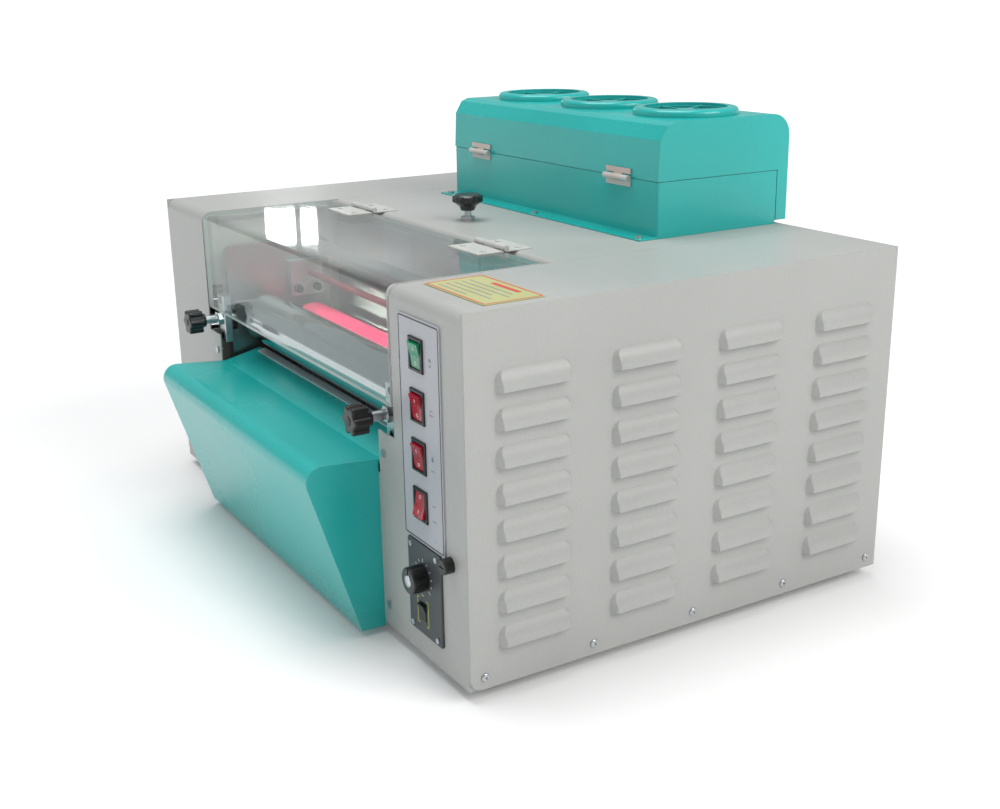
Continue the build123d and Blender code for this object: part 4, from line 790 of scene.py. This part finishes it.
# the rocker's face is 12 mm from waist to end and rises 1.2 mm, and it rests tilted 10 degrees
rocker_waist = math.atan2(1.2, 12)
rocker_rest = math.radians(10)
rocker_pivot_y = -219.5 * mm
legend_out = 4.46 * mm
legend_rise = 7 * mm
for rocker, body, tilt_sign in (
    ("green_rocker", "green_switch", 1),
    ("red_rocker_upper", "red_switch_upper", 1),
    ("red_rocker_middle", "red_switch_middle", 1),
    ("red_rocker_lower", "red_switch_lower", -1),
):
    low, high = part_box(rocker)
    pivot = Vector(((low.x + high.x) / 2, rocker_pivot_y, (low.z + high.z) / 2))
    tilt = tilt_sign * rocker_rest
    mesh = bmesh.new()
    for end in (1, -1):
        spot = Vector((0, -legend_out, end * legend_rise))
        place = (
            Matrix.Translation(pivot)
            @ Matrix.Rotation(tilt, 4, "X")
            @ Matrix.Translation(spot)
            @ Matrix.Rotation(math.pi / 2 + end * rocker_waist, 4, "X")
        )
        if end == tilt_sign:
            print_patch(mesh, place, 0.8 * mm, 3.6 * mm, 0.3 * mm, ink)
        else:
            print_patch(mesh, place, 3.4 * mm, 3.4 * mm, 1.6 * mm, ink, rim=0.5 * mm)
    finish_piece(mesh, rocker + "_legend", white_ink, body, smooth=False)


# ------------------------------------------------------------------ speed unit
# A dark grey moulded panel unit: a ring of tick marks round the ribbed knob, yellow-green
# lines round the run switch, and a turned pale metal cap set in the knob.
dark_panel = moulded("dark_grey_abs", "#3d4245", "#464b4e", 0.42, 0.8, 0.02)
give(dark_panel, "speed_unit")
give(black_plastic, "speed_knob")
lime_ink = print_ink("yellow_green_ink", "#b9c05a", "#a9b04c")
unit_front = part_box("speed_unit")[0].y
knob_low, knob_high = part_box("speed_knob")
knob_x = (knob_low.x + knob_high.x) / 2
knob_z = (knob_low.z + knob_high.z) / 2
mesh = bmesh.new()
ticks = 11
sweep = 270
for step in range(ticks):
    around = math.radians(-sweep / 2 + sweep * step / (ticks - 1))
    # every fifth tick is a long one
    reach, length = (16.2 * mm, 2.4 * mm) if step % 5 else (16.8 * mm, 3.6 * mm)
    spot = (knob_x + reach * math.sin(around), unit_front, knob_z + reach * math.cos(around))
    print_patch(mesh, facing_front(*spot, turn=-around), 0.8 * mm, length, 0.25 * mm, ink)
finish_piece(mesh, "speed_scale_ticks", white_ink, "machine", smooth=False)
run_low, run_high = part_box("run_rocker")
run_x = (run_low.x + run_high.x) / 2
run_z = (run_low.z + run_high.z) / 2
mesh = bmesh.new()
for side in (-1, 1):
    spot = (run_x + side * 10.5 * mm, unit_front, run_z)
    print_patch(mesh, facing_front(*spot), 1.1 * mm, 27 * mm, 0.3 * mm, ink)
    for end in (-1, 1):
        spot = (run_x + side * 8.4 * mm, unit_front, run_z + end * 13 * mm)
        print_patch(mesh, facing_front(*spot), 4.2 * mm, 1.0 * mm, 0.3 * mm, ink)
print_patch(mesh, facing_front(run_x, unit_front, run_z + 17 * mm), 5 * mm, 1.4 * mm, 0.4 * mm, ink)
finish_piece(mesh, "run_switch_lines", lime_ink, "machine", smooth=False)
mesh = bmesh.new()
cap = [(0, 1.0), (4.2, 0.9), (5.4, 0.5), (5.8, -0.2), (5.8, -1.2), (0, -1.2)]
lathe(mesh, [(r * mm, h * mm) for r, h in cap], (knob_x, knob_low.y, knob_z), (0, -1, 0))
finish_piece(mesh, "speed_knob_cap", brushed_aluminium, "speed_dial")


# ------------------------------------------------------------------ yellow plate
# A blank yellow plate is riveted on the right tower. A red line follows its rim, and plain
# red and grey bars take the place of any wording.
yellow_lacquer = paint_on_steel(
    "yellow_lacquer", "#bdbd84", "#b6b67c", "#d2d2b4", 0.4, peel_mm=1.2, peel_depth_mm=0.015, cloud_m=0.05
)
red_ink = print_ink("red_screen_ink", "#c2403a", "#cf554c")
give(yellow_lacquer, "yellow_plate")
sign_low, sign_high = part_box("yellow_plate")
sign_x = (sign_low.x + sign_high.x) / 2
sign_y = (sign_low.y + sign_high.y) / 2
sign_wide = sign_high.x - sign_low.x
sign_deep = sign_high.y - sign_low.y
on_top = Matrix.Translation((sign_x, sign_y, sign_high.z))
mesh = bmesh.new()
print_patch(mesh, on_top, sign_wide - 3 * mm, sign_deep - 3 * mm, 2 * mm, ink, rim=1.6 * mm)
print_patch(
    mesh,
    on_top @ Matrix.Translation((6 * mm, 20 * mm, 0)),
    46 * mm,
    5 * mm,
    0.6 * mm,
    ink,
)
finish_piece(mesh, "yellow_plate_red_lines", red_ink, "machine", smooth=False)
mesh = bmesh.new()
for row, length in enumerate((74, 82, 66, 78, 50)):
    shift = Matrix.Translation(((length - 82) / 2 * mm, (10 - 8 * row) * mm, 0))
    print_patch(mesh, on_top @ shift, length * mm, 1.5 * mm, 0.4 * mm, ink)
finish_piece(mesh, "yellow_plate_grey_bars", grey_ink, "machine", smooth=False)


# ------------------------------------------------------------------ clear cover
# One sheet of 5 mm acrylic, hot folded at its front corner. It is clear with a hint of grey,
# lightly scuffed, and its sawn edges are frosted and catch the light.
clear_acrylic, tree = new_tree("clear_acrylic_sheet")
place = add_node(tree, "ShaderNodeTexCoord")
long_scuff = add_node(tree, "ShaderNodeMapping", {"Scale": (1, 6, 6)}, {"Vector": place.outputs["Object"]})
scuff = add_node(
    tree,
    "ShaderNodeTexNoise",
    {"Scale": 1 / (22 * mm), "Detail": 6.0, "Roughness": 0.7},
    {"Vector": long_scuff.outputs["Vector"]},
)
gloss = add_node(
    tree,
    "ShaderNodeMapRange",
    {"From Min": 0.45, "From Max": 0.8, "To Min": 0.02, "To Max": 0.08},
    {"Value": scuff.outputs["Fac"]},
)
through = add_node(tree, "ShaderNodeBsdfTransparent", {"Color": linear("#f3f7f6")})
skin = add_node(
    tree,
    "ShaderNodeBsdfPrincipled",
    {"Base Color": linear("#e6eae9"), "Metallic": 0.85},
    {"Roughness": gloss.outputs["Result"]},
)
slant = add_node(tree, "ShaderNodeLayerWeight", {"Blend": 0.5})
steep = add_node(tree, "ShaderNodeMath", {"operation": "POWER", 1: 5.0}, {0: slant.outputs["Facing"]})
mirror = add_node(
    tree, "ShaderNodeMapRange", {"To Min": 0.035, "To Max": 1.0}, {"Value": steep.outputs["Value"]}
)
clear_shell = add_node(
    tree,
    "ShaderNodeMixShader",
    {},
    {0: mirror.outputs["Result"], 1: through.outputs[0], 2: skin.outputs[0]},
)
add_node(tree, "ShaderNodeOutputMaterial", {}, {"Surface": clear_shell.outputs[0]})
give(clear_acrylic, "clear_cover")

frosted_edge, tree = new_tree("sawn_acrylic_edge")
# the sawn edge: whitish, with fine saw lines across the sheet
place = add_node(tree, "ShaderNodeTexCoord")
saw = add_node(
    tree,
    "ShaderNodeTexNoise",
    {"Scale": 1 / (1.1 * mm), "Detail": 3.0},
    {"Vector": place.outputs["Object"]},
)
tone = add_node(
    tree,
    "ShaderNodeMix",
    {"data_type": "RGBA", 6: linear("#dfe3e1"), 7: linear("#f6f8f6")},
    {0: saw.outputs["Fac"]},
)
bump = add_node(
    tree,
    "ShaderNodeBump",
    {"Strength": 0.4, "Distance": 0.05 * mm},
    {"Height": saw.outputs["Fac"]},
)
skin = add_node(
    tree,
    "ShaderNodeBsdfPrincipled",
    {"Roughness": 0.4, "Transmission Weight": 0.35, "IOR": 1.49},
    {"Base Color": tone.outputs[2], "Normal": bump.outputs["Normal"]},
)
add_node(tree, "ShaderNodeOutputMaterial", {}, {"Surface": skin.outputs[0]})
cover_low, cover_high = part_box("clear_cover")
acrylic = 5 * mm
edge_skin = 0.25 * mm
mesh = bmesh.new()
for side in (1, -1):
    start = set(mesh.verts)
    outline = (
        (cover_low.y, cover_low.z),
        (cover_low.y, cover_high.z),
        (cover_high.y, cover_high.z),
        (cover_high.y, cover_high.z - acrylic),
        (cover_low.y + acrylic, cover_high.z - acrylic),
        (cover_low.y + acrylic, cover_low.z),
    )
    corners = [mesh.verts.new((0, y, z)) for y, z in outline]
    mesh.faces.new(corners)
    bmesh.ops.bevel(
        mesh, geom=[corners[1]], offset=9 * mm, segments=8, profile=0.5, affect="VERTICES", material=-1
    )
    bmesh.ops.bevel(
        mesh, geom=[corners[4]], offset=4 * mm, segments=6, profile=0.5, affect="VERTICES", material=-1
    )
    faces = [f for f in mesh.faces if all(v not in start for v in f.verts)]
    lifted = bmesh.ops.extrude_face_region(mesh, geom=faces)
    bmesh.ops.translate(
        mesh, verts=[v for v in lifted["geom"] if isinstance(v, bmesh.types.BMVert)], vec=(edge_skin, 0, 0)
    )
    fresh = [v for v in mesh.verts if v not in start]
    shift = side * (cover_high.x + 0.03 * mm)
    bmesh.ops.scale(mesh, vec=(side, 1, 1), verts=fresh)
    bmesh.ops.translate(mesh, vec=(shift, 0, 0), verts=fresh)
finish_piece(mesh, "cover_side_edges", frosted_edge, "cover")
mesh = bmesh.new()
foot_edge = (
    Matrix.Translation((0, cover_low.y + acrylic / 2, cover_low.z - 0.03 * mm))
    @ Matrix.Rotation(math.pi, 4, "X")
)
print_patch(mesh, foot_edge, cover_high.x - cover_low.x - 1 * mm, acrylic - 0.6 * mm, 0.6 * mm, edge_skin)
rear_edge = (
    Matrix.Translation((0, cover_high.y + 0.03 * mm, cover_high.z - acrylic / 2))
    @ Matrix.Rotation(-math.pi / 2, 4, "X")
)
print_patch(mesh, rear_edge, cover_high.x - cover_low.x - 1 * mm, acrylic - 0.6 * mm, 0.6 * mm, edge_skin)
finish_piece(mesh, "cover_end_edges", frosted_edge, "cover")

# ------------------------------------------------------------------ cover hinges
# Two stamped leaf hinges, enamelled off-white, join the cover to the centre panel. Small domed
# screws, enamelled with them, hold each leaf.
white_enamel = paint_on_steel(
    "off_white_enamel", "#c3c4c0", "#bcbdb9", "#d6d7d4", 0.4, peel_mm=1.0, peel_depth_mm=0.01, cloud_m=0.03
)
give(white_enamel, "cover_hinges_moving", "fixed_hinge_leaves")
hinge_reach = 150 * mm
screw_step = 20 * mm
axis_y = -50 * mm
cover_leaf_y = axis_y - 22 * mm
panel_leaf_y = axis_y + 20 * mm
leaf_top = 363.4 * mm
for name, body, leaf_y in (
    ("cover_hinge_screws", "cover", cover_leaf_y),
    ("panel_hinge_screws", "machine", panel_leaf_y),
):
    mesh = bmesh.new()
    for side in (-1, 1):
        for step in (-1, 1):
            spot = (side * hinge_reach + step * screw_step, leaf_y, leaf_top)
            screw_head(mesh, spot, (0, 0, 1), 3.2 * mm, 1.5 * mm)
    finish_piece(mesh, name, white_enamel, body)

# ------------------------------------------------------------------ feed hood
# A folded and welded steel hood in deep teal gloss paint closes the feed side. A bright
# stainless strip finishes its inner lip.
teal_paint = paint_on_steel(
    "teal_gloss_paint", "#1cb3ae", "#18aaa5", "#58c4bf", 0.26, peel_mm=2.0, peel_depth_mm=0.05, cloud_m=0.3
)
give(teal_paint, "feed_hood", "lamp_base", "lamp_lid", "vent_guards")
stainless = bare_metal("brushed_stainless", "#f4f5f6", "#e2e4e5", 0.5, 0.62, (0.05, 1, 1), 0.5, 0.01)
give(stainless, "hood_lip_strip")

# ------------------------------------------------------------------ lamp house
# The lamp house is the same teal steel: a base box with a hinged lid. A black rubber cord lies in the seam
# between them as painted shade, the dark line of the gap, and small enamelled hinges cross it at the front.
seam_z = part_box("lamp_base")[1].z
house_front_y = 115 * mm
house_rear_y = 280 * mm
house_wide = 426 * mm
seam_shade_wide = 1.6 * mm
seam_shade_sunk = 0.3 * mm
# painted shade: a black cord set in the seam draws the dark line of the gap between base and lid
mesh = bmesh.new()
print_patch(
    mesh,
    Matrix.Translation((0, (house_front_y + house_rear_y) / 2, seam_z - seam_shade_sunk)),
    house_wide - seam_shade_wide,
    house_rear_y - house_front_y - seam_shade_wide,
    2.5 * mm,
    0.75 * mm,
    rim=seam_shade_wide,
)
finish_piece(mesh, "lid_seam_painted_shade", black_rubber, "machine", smooth=False)
beige_enamel = paint_on_steel(
    "beige_enamel", "#cdbfb8", "#c3b3ab", "#e2d8d2", 0.35, peel_mm=0.8, peel_depth_mm=0.01, cloud_m=0.02
)
give(beige_enamel, "lid_hinges_moving")

# ------------------------------------------------------------------ lamps, reflector, fans
# Quartz tubes with ceramic ends lie under a folded mirror of bright aluminium. Black fans
# blow down through the vents.
mirror_aluminium = bare_metal("mirror_aluminium", "#eceeef", "#d5d8da", 0.08, 0.16, (0.05, 1, 1), 1.2, 0.01)
give(mirror_aluminium, "reflector")
give(black_plastic, "fan_frames", "left_rotor", "middle_rotor", "right_rotor")
lamp_quartz, tree = new_tree("quartz_and_ceramic")
place = add_node(tree, "ShaderNodeTexCoord")
split = add_node(tree, "ShaderNodeSeparateXYZ", {}, {"Vector": place.outputs["Object"]})
far = add_node(tree, "ShaderNodeMath", {"operation": "ABSOLUTE"}, {0: split.outputs["X"]})
ceramic_from = 189.9 * mm
at_end = add_node(
    tree, "ShaderNodeMath", {"operation": "GREATER_THAN", 1: ceramic_from}, {0: far.outputs["Value"]}
)
pores = add_node(
    tree, "ShaderNodeTexNoise", {"Scale": 1 / (2 * mm), "Detail": 4.0}, {"Vector": place.outputs["Object"]}
)
ceramic = add_node(
    tree,
    "ShaderNodeMix",
    {"data_type": "RGBA", 6: linear("#d9d5cb"), 7: linear("#eeebe3")},
    {0: pores.outputs["Fac"]},
)
glass = add_node(
    tree,
    "ShaderNodeMix",
    {"data_type": "RGBA", 6: linear("#b9bfd0"), 7: linear("#d2d7e6")},
    {0: pores.outputs["Fac"]},
)
tone = add_node(
    tree,
    "ShaderNodeMix",
    {"data_type": "RGBA"},
    {0: at_end.outputs["Value"], 6: glass.outputs[2], 7: ceramic.outputs[2]},
)
gloss = add_node(
    tree, "ShaderNodeMapRange", {"To Min": 0.08, "To Max": 0.6}, {"Value": at_end.outputs["Value"]}
)
skin = add_node(
    tree,
    "ShaderNodeBsdfPrincipled",
    {"IOR": 1.46, "Coat Weight": 0.3},
    {"Base Color": tone.outputs[2], "Roughness": gloss.outputs["Result"]},
)
add_node(tree, "ShaderNodeOutputMaterial", {}, {"Surface": skin.outputs[0]})
give(lamp_quartz, "uv_lamps")

# ------------------------------------------------------------------ hold-down knob
# A black phenolic knob on a zinc-plated stud presses the centre panel down. The stud and the
# knob are one node, so the material changes at the knob's underside.
knob_mix, tree = new_tree("phenolic_knob_on_zinc_stud")
place = add_node(tree, "ShaderNodeTexCoord")
split = add_node(tree, "ShaderNodeSeparateXYZ", {}, {"Vector": place.outputs["Object"]})
knob_foot_z = 373.8 * mm
is_stud = add_node(
    tree, "ShaderNodeMath", {"operation": "LESS_THAN", 1: knob_foot_z}, {0: split.outputs["Z"]}
)
grain = add_node(
    tree,
    "ShaderNodeTexNoise",
    {"Scale": 1 / (1.0 * mm), "Detail": 2.0},
    {"Vector": place.outputs["Object"]},
)
black = add_node(
    tree,
    "ShaderNodeMix",
    {"data_type": "RGBA", 6: linear("#101112"), 7: linear("#1d1e20")},
    {0: grain.outputs["Fac"]},
)
zinc = add_node(
    tree,
    "ShaderNodeMix",
    {"data_type": "RGBA", 6: linear("#a9adb0"), 7: linear("#cfd2d4")},
    {0: grain.outputs["Fac"]},
)
tone = add_node(
    tree,
    "ShaderNodeMix",
    {"data_type": "RGBA"},
    {0: is_stud.outputs["Value"], 6: black.outputs[2], 7: zinc.outputs[2]},
)
bump = add_node(
    tree,
    "ShaderNodeBump",
    {"Strength": 0.3, "Distance": 0.02 * mm},
    {"Height": grain.outputs["Fac"]},
)
skin = add_node(
    tree,
    "ShaderNodeBsdfPrincipled",
    {"Roughness": 0.32, "Coat Weight": 0.2},
    {"Base Color": tone.outputs[2], "Metallic": is_stud.outputs["Value"], "Normal": bump.outputs["Normal"]},
)
add_node(tree, "ShaderNodeOutputMaterial", {}, {"Surface": skin.outputs[0]})
give(knob_mix, "hold_knob")
